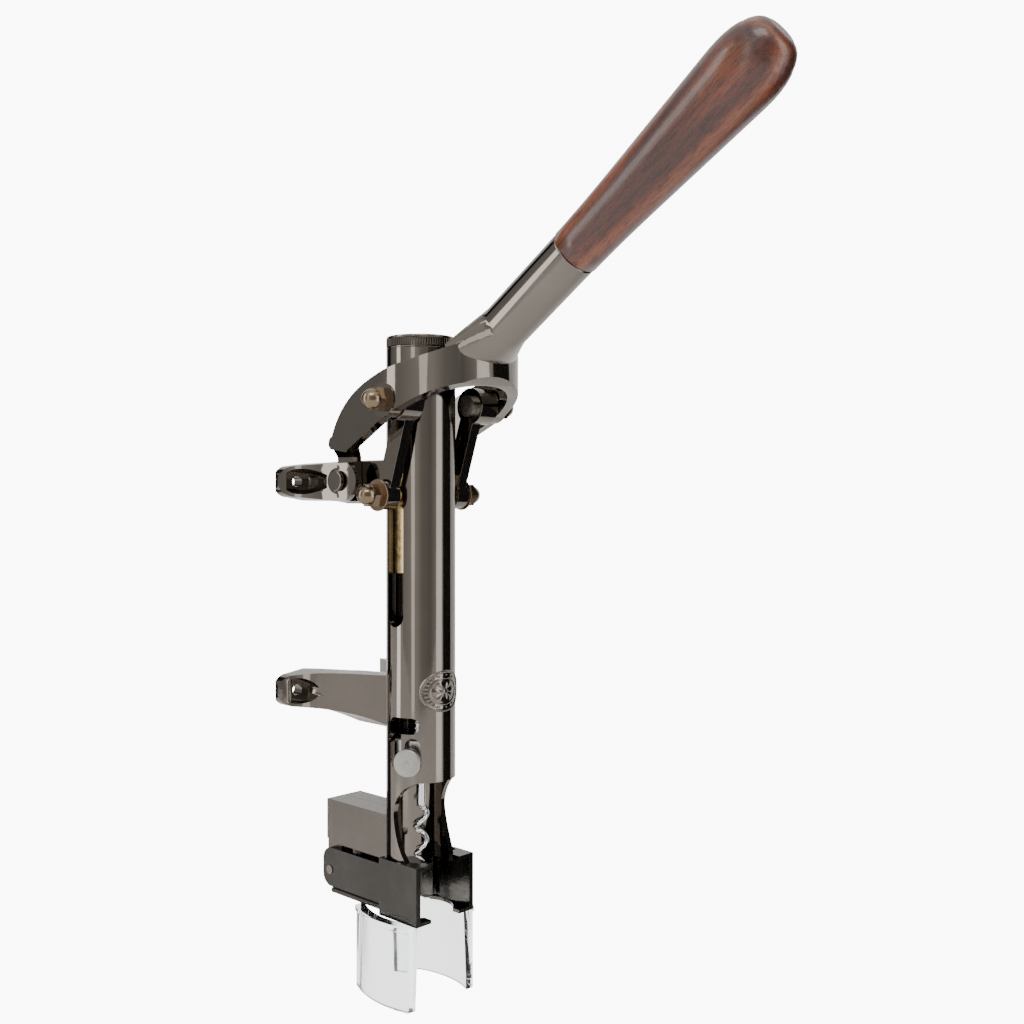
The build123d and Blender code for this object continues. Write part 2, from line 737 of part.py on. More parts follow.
with BuildPart() as spindle_nut:
    with BuildSketch(level(counterbore_floor + thrust_t + running)):
        Circle(spindle_nut_r)
        Circle(shank_r + running / 2, mode=Mode.SUBTRACT)
    extrude(amount=spindle_nut_h)
    chamfer(spindle_nut.edges().filter_by(GeomType.CIRCLE).sort_by(Axis.Z)[-1], length=0.5)
save(spindle_nut.part, "spindle_nut")

# the worm: round wire on a straight shank, its free end ground to a point
with BuildPart() as worm:
    with BuildLine():
        turns_height = worm_shank_low + 2 - worm_tip_z
        turns_path = Helix(worm_pitch, turns_height, worm_helix_r, center=(0, axis_y, worm_tip_z))
    with BuildSketch(Plane(origin=turns_path @ 0, z_dir=turns_path % 0)):
        Circle(worm_wire_r * 0.35)
    with BuildSketch(Plane(origin=turns_path @ 0.2, z_dir=turns_path % 0.2)):
        Circle(worm_wire_r)
    with BuildSketch(Plane(origin=turns_path @ 1, z_dir=turns_path % 1)):
        Circle(worm_wire_r)
    sweep(path=turns_path, multisection=True, is_frenet=True)
    with BuildSketch(level(worm_shank_low)):
        Circle(worm_shank_r)
    extrude(amount=rod_low + worm_tail - running - worm_shank_low)
save(worm.part, "worm")

# ---- latch --------------------------------------------------------------------------------------
with BuildPart() as drive_nut:
    with BuildSketch(level(drive_nut_z - drive_nut_half_h)):
        Circle(piston_r)
        Circle(rod_r + 0.45, mode=Mode.SUBTRACT)
    extrude(amount=2 * drive_nut_half_h)
    chamfer(drive_nut.edges().filter_by(GeomType.CIRCLE), length=0.6)
    with BuildSketch(spoke(latch_polar, latch_pin_inner - running, drive_nut_z)):
        Circle(latch_pin_r + running)
    extrude(amount=barrel_r, mode=Mode.SUBTRACT)
save(drive_nut.part, "drive_nut")

with BuildPart() as latch_pin:
    with BuildSketch(spoke(latch_polar, latch_pin_inner, drive_nut_z)):
        Circle(latch_pin_r)
    extrude(amount=knob_inner - running - latch_pin_inner)
    with BuildSketch(spoke(latch_polar, knob_inner - running, drive_nut_z)):
        Circle(latch_pin_r / 2)
    extrude(amount=knob_outer - 2 - knob_inner)
save(latch_pin.part, "latch_pin")

with BuildPart() as latch_knob:
    with BuildSketch(spoke(latch_polar, knob_inner, drive_nut_z)):
        Circle(knob_r)
    extrude(amount=knob_outer - knob_inner)
    chamfer(latch_knob.edges().filter_by(GeomType.CIRCLE), length=0.6)
    with BuildSketch(spoke(latch_polar, knob_inner, drive_nut_z)):
        Circle(latch_pin_r / 2 + running)
    extrude(amount=knob_outer - 2 - knob_inner, mode=Mode.SUBTRACT)
    with BuildSketch(spoke(latch_polar, knob_outer - 0.6, drive_nut_z)):
        Circle(1.3)
    extrude(amount=1, mode=Mode.SUBTRACT)
save(latch_knob.part, "latch_knob")

# ---- neck frame ---------------------------------------------------------------------------------
joggle_front, joggle_back = frame_joggle_out
for side, name in ((-1, "frame_left"), (1, "frame_right")):
    with BuildPart() as cheek:
        with BuildSketch(level(frame_low)):
            with BuildLine():
                Polyline(
                    (side * frame_rear_half_w, frame_back),
                    (side * frame_rear_half_w, joggle_back),
                    (side * frame_front_half_w, joggle_front),
                    (side * frame_front_half_w, frame_front),
                    (side * (frame_front_half_w - sheet_t), frame_front),
                    (side * (frame_front_half_w - sheet_t), joggle_front - 1),
                    (side * (frame_rear_half_w - sheet_t), joggle_back - 1),
                    (side * (frame_rear_half_w - sheet_t), frame_back),
                    close=True,
                )
            make_face()
        extrude(amount=frame_high_front - frame_low)
        # flanges inwards at the mouth: over the front opening, and all along below
        with BuildSketch(level(frame_low)):
            flange_mid = side * (frame_front_half_w + frame_flange) / 2
            with Locations((flange_mid, (frame_front + joggle_front - 1) / 2)):
                Rectangle(frame_front_half_w - frame_flange, joggle_front - 1 - frame_front)
        extrude(amount=flange_t)
        with BuildSketch(level(frame_high_front - flange_t)):
            with Locations((flange_mid, (frame_front - 7.2) / 2)):
                Rectangle(frame_front_half_w - frame_flange, -7.2 - frame_front)
        extrude(amount=flange_t)
        with BuildSketch(side_view(0)):
            with BuildLine():
                outline = Polyline(
                    (frame_front, frame_low),
                    (joggle_front + 2, frame_low),
                    (joggle_back, frame_low_rear),
                    (frame_back, frame_low_rear),
                    (frame_back, frame_high_rear),
                    (joggle_back, frame_high_rear),
                    (joggle_front, frame_high_front),
                    (frame_front, frame_high_front),
                    close=True,
                )
            make_face()
            fillet(outline.vertices().group_by(Axis.X)[-1], radius=6)
            fillet(outline.vertices().group_by(Axis.X)[0], radius=2.5)
        extrude(amount=side * (frame_front_half_w + 1), mode=Mode.INTERSECT)
        # relief round the tube's end, and the pin's hole
        with BuildSketch(level(barrel_bottom - clear)):
            Circle(barrel_r + frame_gap)
            with Locations((0, -barrel_r)):
                Rectangle(2 * barrel_r + 4, 2 * barrel_r - 15, mode=Mode.SUBTRACT)
        extrude(amount=barrel_r, mode=Mode.SUBTRACT)
        with BuildSketch(side_view(0)):
            with Locations((frame_pin_out, frame_pin_z)):
                Circle(frame_pin_r + running)
        extrude(amount=side * (frame_rear_half_w + 1), mode=Mode.SUBTRACT)
        with BuildSketch(level(frame_low)):
            Circle(neck_r)
        extrude(amount=frame_high_front - frame_low, mode=Mode.SUBTRACT)
    save(cheek.part, name)

with BuildPart() as frame_bottom_plate:
    with BuildSketch(level(frame_low)):
        with Locations((0, joggle_back)):
            plate_size = (2 * frame_rear_half_w + 1.6, frame_pin_out - 2 - joggle_back)
            Rectangle(*plate_size, align=(Align.CENTER, Align.MIN))
        Circle(barrel_r + 1, mode=Mode.SUBTRACT)
    extrude(amount=frame_low_rear - frame_low)
save(frame_bottom_plate.part, "frame_bottom_plate")

# half-round seat behind the bottle's neck, with a foot on the bottom plate
seat_low = frame_low_rear
with BuildPart() as neck_seat:
    with BuildSketch(level(seat_low)):
        with BuildLine():
            seat_edge = seat_inner_r * sin(radians(65))
            seat_cos = seat_inner_r * cos(radians(65))
            inner_arc = ThreePointArc((-seat_edge, seat_cos), (0, seat_inner_r), (seat_edge, seat_cos))
            grow = (seat_inner_r + seat_t) / seat_inner_r
            outer_edge = seat_edge * grow
            outer_cos = seat_cos * grow
            outer_arc = ThreePointArc(
                (outer_edge, outer_cos), (0, seat_inner_r + seat_t), (-outer_edge, outer_cos)
            )
            Line(inner_arc @ 1, outer_arc @ 0)
            Line(outer_arc @ 1, inner_arc @ 0)
        make_face()
    extrude(amount=seat_top - seat_low)
    with BuildSketch(level(seat_low)):
        with Locations((0, seat_inner_r + seat_t - 0.3)):
            Rectangle(12, 8, align=(Align.CENTER, Align.MIN))
    extrude(amount=2)
save(neck_seat.part, "neck_seat")

# ---- clear guides for the bottle's neck ---------------------------------------------------------
opening_shift = guide_opening_r - guide_opening_half
with BuildPart() as guide_opening:
    with BuildSketch(level(frame_low)):
        with Locations((-opening_shift, 4)):
            Circle(guide_opening_r)
    with BuildSketch(level(frame_low - guide_height)):
        with Locations((-opening_shift, 4)):
            Circle(guide_opening_r + guide_flare)
    loft()
for side, name in ((-1, "guide_left"), (1, "guide_right")):
    with BuildPart() as guide:
        with BuildSketch(level(frame_low)):
            with BuildLine():
                outer_side = ThreePointArc((20.2, guide_front), (22.2, 2), (15.6, guide_back))
                Polyline(outer_side @ 1, (5, guide_back), (5, guide_front), outer_side @ 0)
            make_face()
        extrude(amount=-guide_height)
        # stepped rim under the frame
        with BuildSketch(level(frame_low)):
            with BuildLine():
                rim_side = ThreePointArc((21.2, guide_front), (23.2, 2), (16.6, guide_back))
                Polyline(rim_side @ 1, (5, guide_back), (5, guide_front), rim_side @ 0)
            make_face()
        extrude(amount=-guide_rim_t)
        add(guide_opening.part, mode=Mode.SUBTRACT)
    placed = guide.part if side > 0 else mirror(guide.part, about=Plane.YZ)
    save(placed, name)
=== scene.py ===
# %% [markdown]
# A wall-mounted lever corkscrew, dressed for its picture. The engineering model already holds every
# shape that moves or fits. This notebook loads it as a fixed frame and gives it what a maker's eye looks
# for: rounded casting edges, a knurled cap, a carved badge, a steep spindle thread, grained wood and
# clear plastic.

import json
from math import atan2, cos, pi, radians, sin

import bmesh
import bpy
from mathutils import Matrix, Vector


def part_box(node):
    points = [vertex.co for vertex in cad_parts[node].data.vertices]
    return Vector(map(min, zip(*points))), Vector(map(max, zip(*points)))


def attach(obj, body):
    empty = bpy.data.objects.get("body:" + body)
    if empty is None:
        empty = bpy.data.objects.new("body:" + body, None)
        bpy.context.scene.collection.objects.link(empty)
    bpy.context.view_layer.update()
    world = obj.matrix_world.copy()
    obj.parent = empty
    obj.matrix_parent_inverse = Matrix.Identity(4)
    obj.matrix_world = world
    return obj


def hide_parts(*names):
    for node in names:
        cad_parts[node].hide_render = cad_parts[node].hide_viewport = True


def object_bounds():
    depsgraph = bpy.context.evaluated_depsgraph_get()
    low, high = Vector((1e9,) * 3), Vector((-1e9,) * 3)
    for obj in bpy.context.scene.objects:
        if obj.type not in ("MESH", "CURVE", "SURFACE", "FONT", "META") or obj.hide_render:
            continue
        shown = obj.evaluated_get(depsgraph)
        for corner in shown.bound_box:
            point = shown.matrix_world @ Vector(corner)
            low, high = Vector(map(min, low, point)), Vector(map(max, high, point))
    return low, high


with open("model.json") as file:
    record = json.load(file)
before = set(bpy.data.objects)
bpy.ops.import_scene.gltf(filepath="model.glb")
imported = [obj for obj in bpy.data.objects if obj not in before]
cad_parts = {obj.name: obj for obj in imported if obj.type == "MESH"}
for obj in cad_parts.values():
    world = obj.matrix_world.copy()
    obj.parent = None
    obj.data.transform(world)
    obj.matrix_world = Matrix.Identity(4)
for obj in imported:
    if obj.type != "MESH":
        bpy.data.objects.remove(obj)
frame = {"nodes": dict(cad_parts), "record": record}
cad_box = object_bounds()
MM = 0.001
nodes = frame["nodes"]
body_of_node = {n: b for b, names in frame["record"]["behaviour"]["bodies"].items() for n in names}

# %% [markdown]
# The camera stands level with the upper arms, in front and to the left, a little over half a metre
# away. So near, the perspective is strong, which is why its place is measured from the tube's axis and
# its lens from the angle of view.

# %% The tube's axis and the camera
cap_low, cap_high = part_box("top_cap")
axis_x = 0.0
axis_y = (cap_low.y + cap_high.y) / 2
tube_r = (cap_high.x - cap_low.x) / 2
CAMERA_TURN = -46.4

camera_data = bpy.data.cameras.new("camera")
camera_data.lens = 42.0
camera_data.sensor_width = 36.0
camera_data.shift_y = -0.0186
camera = bpy.data.objects.new("camera", camera_data)
bpy.context.scene.collection.objects.link(camera)
camera.location = (axis_x - 0.3721, axis_y - 0.4127, 0.044)
camera.rotation_euler = (radians(90), 0, radians(CAMERA_TURN))
bpy.context.scene.camera = camera
print("axis", axis_y, "tube radius", tube_r)

# %% [markdown]
# Polished metal shows the room more than itself, so the room is the material's other half. A glowing
# white sweep stands behind. In front, the room is dim, with a tall soft box on the right, one near the
# camera and one on the left, which draw the upright highlights, and a wide one overhead. A black board
# on each side, which only the metal sees, gives the tube its dark edges.

# %% Room: sweep, boards, lights and world
CAMERA_SIDE = -90 + CAMERA_TURN
PAPER_TO_CAMERA = 9.0
PAPER_TO_CLEAR = 1.5
PAPER_TO_METAL = 0.25
BOARD_HEIGHT = 0.03
LAMP_AIM_HEIGHT = 0.02
BOARD_TALL = 1.3


def link(obj):
    bpy.context.scene.collection.objects.link(obj)
    return obj


def plain_material(name, colour, roughness, glow=0.0):
    material = bpy.data.materials.new(name)
    material.use_nodes = True
    shader = material.node_tree.nodes["Principled BSDF"]
    shader.inputs["Base Color"].default_value = (*colour, 1)
    shader.inputs["Roughness"].default_value = roughness
    shader.inputs["Emission Color"].default_value = (1, 1, 1, 1)
    shader.inputs["Emission Strength"].default_value = glow
    return material


def sweep_backdrop(floor_z, half_width, reach, height, bend):
    """A floor that curves up into a wall, facing the camera's side."""
    profile = [(-reach, floor_z)]
    steps = 16
    for i in range(steps + 1):
        a = i / steps * pi / 2
        profile.append((reach - bend + bend * sin(a), floor_z + bend - bend * cos(a)))
    profile.append((reach, floor_z + height))
    mesh = bpy.data.meshes.new("sweep")
    verts = [(x, y, z) for y, z in profile for x in (-half_width, half_width)]
    faces = [(2 * i, 2 * i + 1, 2 * i + 3, 2 * i + 2) for i in range(len(profile) - 1)]
    mesh.from_pydata(verts, [], faces)
    for face in mesh.polygons:
        face.use_smooth = True
    return link(bpy.data.objects.new("sweep", mesh))


floor = sweep_backdrop(cad_box[0][2] - 0.16, half_width=3.0, reach=1.6, height=2.6, bend=0.5)
floor.rotation_euler = (0, 0, radians(CAMERA_TURN))
paper = plain_material("pale paper", (0.86, 0.86, 0.86), 0.9, 1.0)
# the paper shines at the camera and through the clear guides, and only glows softly on the metal
rays = paper.node_tree.nodes.new("ShaderNodeLightPath")
seen = paper.node_tree.nodes.new("ShaderNodeMath")
seen.operation = "MULTIPLY_ADD"
seen.inputs[1].default_value = PAPER_TO_CAMERA
seen.inputs[2].default_value = PAPER_TO_METAL
through = paper.node_tree.nodes.new("ShaderNodeMath")
through.operation = "MULTIPLY_ADD"
through.inputs[1].default_value = PAPER_TO_CLEAR
paper.node_tree.links.new(rays.outputs["Is Camera Ray"], seen.inputs[0])
paper.node_tree.links.new(rays.outputs["Is Transmission Ray"], through.inputs[0])
paper.node_tree.links.new(seen.outputs["Value"], through.inputs[2])
paper.node_tree.links.new(through.outputs["Value"],
                          paper.node_tree.nodes["Principled BSDF"].inputs["Emission Strength"])
floor.data.materials.append(paper)


def round_the_tube(azimuth, distance, height):
    """A place round the tube; the azimuth counts from the camera's direction, positive to its right."""
    a = radians(azimuth + CAMERA_SIDE)
    return Vector((distance * cos(a), axis_y + distance * sin(a), height))


def board(name, azimuth, distance, width, tall):
    """A black board on end, facing the tube. The metal sees it, the camera doesn't."""
    mesh = bpy.data.meshes.new(name)
    w, h = width / 2, tall / 2
    mesh.from_pydata([(-w, -h, 0), (w, -h, 0), (w, h, 0), (-w, h, 0)], [], [(0, 1, 2, 3)])
    mesh.materials.append(black_cloth)
    card = link(bpy.data.objects.new(name, mesh))
    card.location = round_the_tube(azimuth, distance, BOARD_HEIGHT)
    aim = Vector((0, axis_y, BOARD_HEIGHT)) - card.location
    card.rotation_euler = aim.to_track_quat("Z", "Y").to_euler()
    card.visible_camera = False


black_cloth = plain_material("black cloth", (0.012, 0.012, 0.013), 0.9)
board("right board", azimuth=100, distance=0.50, width=0.34, tall=BOARD_TALL)
board("left board", azimuth=-126, distance=0.62, width=0.26, tall=BOARD_TALL)


def soft_box(name, azimuth, distance, height, width, tall, power):
    """An area light round the tube, aimed at it."""
    data = bpy.data.lights.new(name, "AREA")
    data.shape = "RECTANGLE"
    data.size = width
    data.size_y = tall
    data.energy = power
    lamp = link(bpy.data.objects.new(name, data))
    lamp.location = round_the_tube(azimuth, distance, height)
    aim = Vector((0, axis_y, LAMP_AIM_HEIGHT)) - lamp.location
    lamp.rotation_euler = aim.to_track_quat("-Z", "Y").to_euler()


soft_box("right box", azimuth=66, distance=1.0, height=0.18, width=0.36, tall=1.3, power=2.6)
soft_box("near box", azimuth=-22, distance=1.15, height=0.25, width=0.26, tall=1.1, power=1.3)
soft_box("left box", azimuth=-74, distance=0.95, height=0.30, width=0.26, tall=1.2, power=3.4)
soft_box("top box", azimuth=10, distance=0.70, height=0.95, width=0.6, tall=0.4, power=3.2)

# the room's light by azimuth from the camera's direction, in degrees, and its brightness there
room_light = [(-180, 0.75), (-140, 0.35), (-115, 0.30), (-95, 0.50), (-60, 0.55), (-30, 0.80), (-10, 0.85),
              (8, 0.50), (35, 0.36), (52, 0.60), (66, 1.0), (84, 0.80), (96, 0.12), (130, 0.10), (155, 0.5),
              (180, 0.75)]
world = bpy.data.worlds.new("room")
world.use_nodes = True
sky = world.node_tree
toward = sky.nodes.new("ShaderNodeTexCoord")
split = sky.nodes.new("ShaderNodeSeparateXYZ")
sky.links.new(toward.outputs["Generated"], split.inputs["Vector"])
azimuth_of = sky.nodes.new("ShaderNodeMath")
azimuth_of.operation = "ARCTAN2"
sky.links.new(split.outputs["Y"], azimuth_of.inputs[0])
sky.links.new(split.outputs["X"], azimuth_of.inputs[1])
unit = sky.nodes.new("ShaderNodeMath")
unit.operation = "MULTIPLY_ADD"
unit.inputs[1].default_value = 1 / (2 * pi)
unit.inputs[2].default_value = (180 - CAMERA_SIDE) / 360
sky.links.new(azimuth_of.outputs["Value"], unit.inputs[0])
wrapped = sky.nodes.new("ShaderNodeMath")
wrapped.operation = "FRACT"
sky.links.new(unit.outputs["Value"], wrapped.inputs[0])
bands = sky.nodes.new("ShaderNodeValToRGB")
stops = bands.color_ramp.elements
while len(stops) < len(room_light):
    stops.new(0.5)
for stop, (azimuth, brightness) in zip(stops, room_light):
    stop.position = (azimuth + 180) / 360
    stop.color = (brightness, brightness * 0.985, brightness * 0.96, 1)
sky.links.new(wrapped.outputs["Value"], bands.inputs["Fac"])
overhead = sky.nodes.new("ShaderNodeMapRange")
overhead.inputs["From Min"].default_value = 0.35
overhead.inputs["From Max"].default_value = 0.95
overhead.inputs["To Min"].default_value = 0.0
overhead.inputs["To Max"].default_value = 0.55
sky.links.new(split.outputs["Z"], overhead.inputs["Value"])
brighter = sky.nodes.new("ShaderNodeMix")
brighter.data_type = "RGBA"
brighter.blend_type = "ADD"
brighter.inputs["Factor"].default_value = 1.0
sky.links.new(bands.outputs["Color"], brighter.inputs[6])
sky.links.new(overhead.outputs["Result"], brighter.inputs[7])
sky.links.new(brighter.outputs[2], sky.nodes["Background"].inputs["Color"])
sky.nodes["Background"].inputs["Strength"].default_value = 1.0
bpy.context.scene.world = world

# %% [markdown]
# Materials come from small shader groups that several finishes share. Each group gives back a colour, a
# mask, a value or a normal, never a whole shader, so each finish keeps its own surface and only borrows
# the pattern.

# %% Node helpers
def add_node(tree, kind, inputs=None, **settings):
    """A new node with its settings; an input takes a number, a colour or another node's output."""
    new = tree.nodes.new(kind)
    for name, value in settings.items():
        setattr(new, name, value)
    for name, value in (inputs or {}).items():
        if isinstance(value, bpy.types.NodeSocket):
            tree.links.new(value, new.inputs[name])
        else:
            new.inputs[name].default_value = value
    return new


def shader_group(name, inputs, outputs):
    """An empty shader group and its two end nodes."""
    tree = bpy.data.node_groups.new(name, "ShaderNodeTree")
    for label, kind, value in inputs:
        socket = tree.interface.new_socket(label, in_out="INPUT", socket_type=kind)
        socket.default_value = value
    for label, kind in outputs:
        tree.interface.new_socket(label, in_out="OUTPUT", socket_type=kind)
    return tree, tree.nodes.new("NodeGroupInput"), tree.nodes.new("NodeGroupOutput")


def ramp(tree, factor, stops):
    """A colour ramp over stops of (position, grey or colour)."""
    new = add_node(tree, "ShaderNodeValToRGB", {"Fac": factor})
    elements = new.color_ramp.elements
    while len(elements) < len(stops):
        elements.new(0.5)
    for element, (position, colour) in zip(elements, stops):
        element.position = position
        element.color = (colour, colour, colour, 1) if isinstance(colour, float) else (*colour, 1)
    return new.outputs["Color"]


FLOAT = "NodeSocketFloat"
VECTOR = "NodeSocketVector"
print("node helpers ready")

# %% Shared effects: handling marks, brushed grain and a rippled casting skin
marks, marks_in, marks_out = shader_group(
    "handling marks",
    [("Scale", FLOAT, 45.0), ("Clean", FLOAT, 0.1), ("Worn", FLOAT, 0.25)],
    [("Mask", FLOAT), ("Roughness", FLOAT)],
)
marks_place = add_node(marks, "ShaderNodeTexCoord").outputs["Object"]
cloud = add_node(marks, "ShaderNodeTexNoise",
                 {"Vector": marks_place, "Scale": marks_in.outputs["Scale"], "Detail": 5.0, "Roughness": 0.62})
soft_mask = ramp(marks, cloud.outputs["Fac"], [(0.40, 0.0), (0.72, 1.0)])
between = add_node(marks, "ShaderNodeMapRange",
                   {"Value": soft_mask, "To Min": marks_in.outputs["Clean"],
                    "To Max": marks_in.outputs["Worn"]})
marks.links.new(soft_mask, marks_out.inputs["Mask"])
marks.links.new(between.outputs["Result"], marks_out.inputs["Roughness"])

grain, grain_in, grain_out = shader_group(
    "brushed grain",
    [("Stretch", VECTOR, (900.0, 900.0, 12.0)), ("Depth", FLOAT, 0.1)],
    [("Value", FLOAT), ("Normal", VECTOR)],
)
grain_place = add_node(grain, "ShaderNodeTexCoord").outputs["Object"]
drawn_out = add_node(grain, "ShaderNodeVectorMath", {0: grain_place, 1: grain_in.outputs["Stretch"]},
                     operation="MULTIPLY")
streaks = add_node(grain, "ShaderNodeTexNoise",
                   {"Vector": drawn_out.outputs["Vector"], "Scale": 1.0, "Detail": 4.0, "Roughness": 0.7})
lines = add_node(grain, "ShaderNodeBump",
                 {"Height": streaks.outputs["Fac"], "Strength": grain_in.outputs["Depth"],
                  "Distance": 0.0004})
grain.links.new(streaks.outputs["Fac"], grain_out.inputs["Value"])
grain.links.new(lines.outputs["Normal"], grain_out.inputs["Normal"])

skin, skin_in, skin_out = shader_group(
    "casting skin",
    [("Scale", FLOAT, 160.0), ("Depth", FLOAT, 0.05)],
    [("Normal", VECTOR)],
)
skin_place = add_node(skin, "ShaderNodeTexCoord").outputs["Object"]
swell = add_node(skin, "ShaderNodeTexNoise",
                 {"Vector": skin_place, "Scale": skin_in.outputs["Scale"], "Detail": 2.0})
ripple = add_node(skin, "ShaderNodeBump",
                  {"Height": swell.outputs["Fac"], "Strength": skin_in.outputs["Depth"], "Distance": 0.001})
skin.links.new(ripple.outputs["Normal"], skin_out.inputs["Normal"])
print("groups", [g.name for g in bpy.data.node_groups])

# %% [markdown]
# Metals: the casting and the fork are black nickel over a polished casting, dark and slightly warm. The
# nuts are toned bronze, the knob is satin steel, the worm bright chrome, and the bent sheet of the neck
# frame is a duller black nickel.

# %% Metal finishes
def metal(name, dark, light, clean, worn, skin_depth=0.0, stretch=None, grain_depth=0.1, marks_scale=45.0):
    """A metal between two tones and two roughnesses, with a cast skin or a brushed grain."""
    material = bpy.data.materials.new(name)
    material.use_nodes = True
    tree = material.node_tree
    shader = tree.nodes["Principled BSDF"]
    shader.inputs["Metallic"].default_value = 1.0
    wear = add_node(tree, "ShaderNodeGroup", node_tree=marks)
    wear.inputs["Scale"].default_value = marks_scale
    wear.inputs["Clean"].default_value = clean
    wear.inputs["Worn"].default_value = worn
    tone = add_node(tree, "ShaderNodeMix", {"Factor": wear.outputs["Mask"]}, data_type="RGBA")
    tone.inputs[6].default_value = (*dark, 1)
    tone.inputs[7].default_value = (*light, 1)
    tree.links.new(tone.outputs[2], shader.inputs["Base Color"])
    tree.links.new(wear.outputs["Roughness"], shader.inputs["Roughness"])
    if stretch:
        brushed = add_node(tree, "ShaderNodeGroup", node_tree=grain)
        brushed.inputs["Stretch"].default_value = stretch
        brushed.inputs["Depth"].default_value = grain_depth
        tree.links.new(brushed.outputs["Normal"], shader.inputs["Normal"])
    elif skin_depth:
        cast = add_node(tree, "ShaderNodeGroup", node_tree=skin)
        cast.inputs["Depth"].default_value = skin_depth
        tree.links.new(cast.outputs["Normal"], shader.inputs["Normal"])
    return material


along_y = (900.0, 14.0, 900.0)
around_z = (60.0, 60.0, 1800.0)
black_nickel = metal("black nickel polished", (0.195, 0.172, 0.149), (0.210, 0.186, 0.161), 0.06, 0.10, 0.012)
nickel_brushed = metal("black nickel brushed", (0.150, 0.134, 0.118), (0.172, 0.154, 0.137), 0.24, 0.30,
                       stretch=along_y, grain_depth=0.22)
dark_sheet = metal("black nickel satin", (0.062, 0.058, 0.053), (0.080, 0.074, 0.068), 0.15, 0.24,
                   stretch=along_y, grain_depth=0.12)
bronze = metal("bronze plating", (0.21, 0.155, 0.105), (0.29, 0.215, 0.15), 0.14, 0.26, 0.03)
satin_steel = metal("satin steel", (0.36, 0.35, 0.32), (0.47, 0.455, 0.42), 0.28, 0.38,
                    stretch=around_z, grain_depth=0.08)
steel = metal("turned steel", (0.42, 0.41, 0.40), (0.55, 0.54, 0.53), 0.2, 0.34, 0.04)
chrome = metal("bright chrome", (0.84, 0.84, 0.86), (0.90, 0.90, 0.91), 0.04, 0.10, 0.02)
brass = metal("turned brass", (0.34, 0.25, 0.12), (0.56, 0.42, 0.21), 0.18, 0.34,
              stretch=around_z, grain_depth=0.15, marks_scale=220.0)
print("metals", [m.name for m in bpy.data.materials])

# %% [markdown]
# The grip is stained a reddish brown under a satin lacquer. Its figure runs along the handle: broad
# cathedral bands from stretched waves, fine pores as short dark dashes, and a slow change of tone.

# %% Wood: the handle's direction, measured on the rod inside it, and the finish
tang = [v.co.copy() for v in nodes["handle_tang"].data.vertices]
tang_middle = sum(tang, Vector()) / len(tang)
tang_top = [v for v in tang if v.z > tang_middle.z]
tang_foot = [v for v in tang if v.z <= tang_middle.z]
tang_run = sum(tang_top, Vector()) / len(tang_top) - sum(tang_foot, Vector()) / len(tang_foot)
handle_dir = tang_run.normalized()
grip_points = [v.co.copy() for v in nodes["handle_grip"].data.vertices]
grip_start = min((v - tang_middle).dot(handle_dir) for v in grip_points)
grip_end = max((v - tang_middle).dot(handle_dir) for v in grip_points)
grip_base = tang_middle + grip_start * handle_dir
handle_turn = Vector((0, 0, 1)).rotation_difference(handle_dir)
print("handle direction", handle_dir, "grip length", grip_end - grip_start)


def wood_material():
    """Stained wood, with its figure, fibre and pores drawn out along the handle."""
    material = bpy.data.materials.new("stained wood")
    material.use_nodes = True
    tree = material.node_tree
    shader = tree.nodes["Principled BSDF"]
    shader.inputs["Roughness"].default_value = 0.33
    shader.inputs["Coat Weight"].default_value = 0.5
    shader.inputs["Coat Roughness"].default_value = 0.16
    place = add_node(tree, "ShaderNodeTexCoord").outputs["Object"]
    local = add_node(tree, "ShaderNodeMapping", {"Vector": place}, vector_type="POINT")
    local.inputs["Rotation"].default_value = handle_turn.inverted().to_euler()
    long_way = add_node(tree, "ShaderNodeVectorMath", {0: local.outputs["Vector"]}, operation="MULTIPLY")
    long_way.inputs[1].default_value = (1.0, 1.0, 0.11)
    bend = add_node(tree, "ShaderNodeTexNoise",
                    {"Vector": long_way.outputs["Vector"], "Scale": 55.0, "Detail": 3.0})
    figure = add_node(tree, "ShaderNodeTexWave",
                      {"Vector": long_way.outputs["Vector"], "Scale": 30.0, "Distortion": 9.0,
                       "Detail": 3.0, "Detail Scale": 1.4}, bands_direction="X")
    fibre_way = add_node(tree, "ShaderNodeVectorMath", {0: local.outputs["Vector"]}, operation="MULTIPLY")
    fibre_way.inputs[1].default_value = (1.0, 1.0, 0.16)
    fibre = add_node(tree, "ShaderNodeTexNoise",
                     {"Vector": fibre_way.outputs["Vector"], "Scale": 900.0, "Detail": 3.0,
                      "Roughness": 0.65})
    pores = ramp(tree, fibre.outputs["Fac"], [(0.36, 0.42), (0.54, 1.0)])
    body = ramp(tree, figure.outputs["Fac"],
                [(0.0, (0.070, 0.018, 0.010)), (0.5, (0.150, 0.036, 0.015)), (1.0, (0.225, 0.066, 0.026))])
    drift = ramp(tree, bend.outputs["Fac"], [(0.3, 0.72), (0.7, 1.12)])
    toned = add_node(tree, "ShaderNodeMix", {"Factor": 1.0}, data_type="RGBA", blend_type="MULTIPLY")
    tree.links.new(body, toned.inputs[6])
    tree.links.new(drift, toned.inputs[7])
    speckled = add_node(tree, "ShaderNodeMix", {"Factor": 0.85}, data_type="RGBA", blend_type="MULTIPLY")
    tree.links.new(toned.outputs[2], speckled.inputs[6])
    tree.links.new(pores, speckled.inputs[7])
    tree.links.new(speckled.outputs[2], shader.inputs["Base Color"])
    relief = add_node(tree, "ShaderNodeBump", {"Height": pores, "Strength": 0.25, "Distance": 0.0002})
    tree.links.new(relief.outputs["Normal"], shader.inputs["Normal"])
    return material


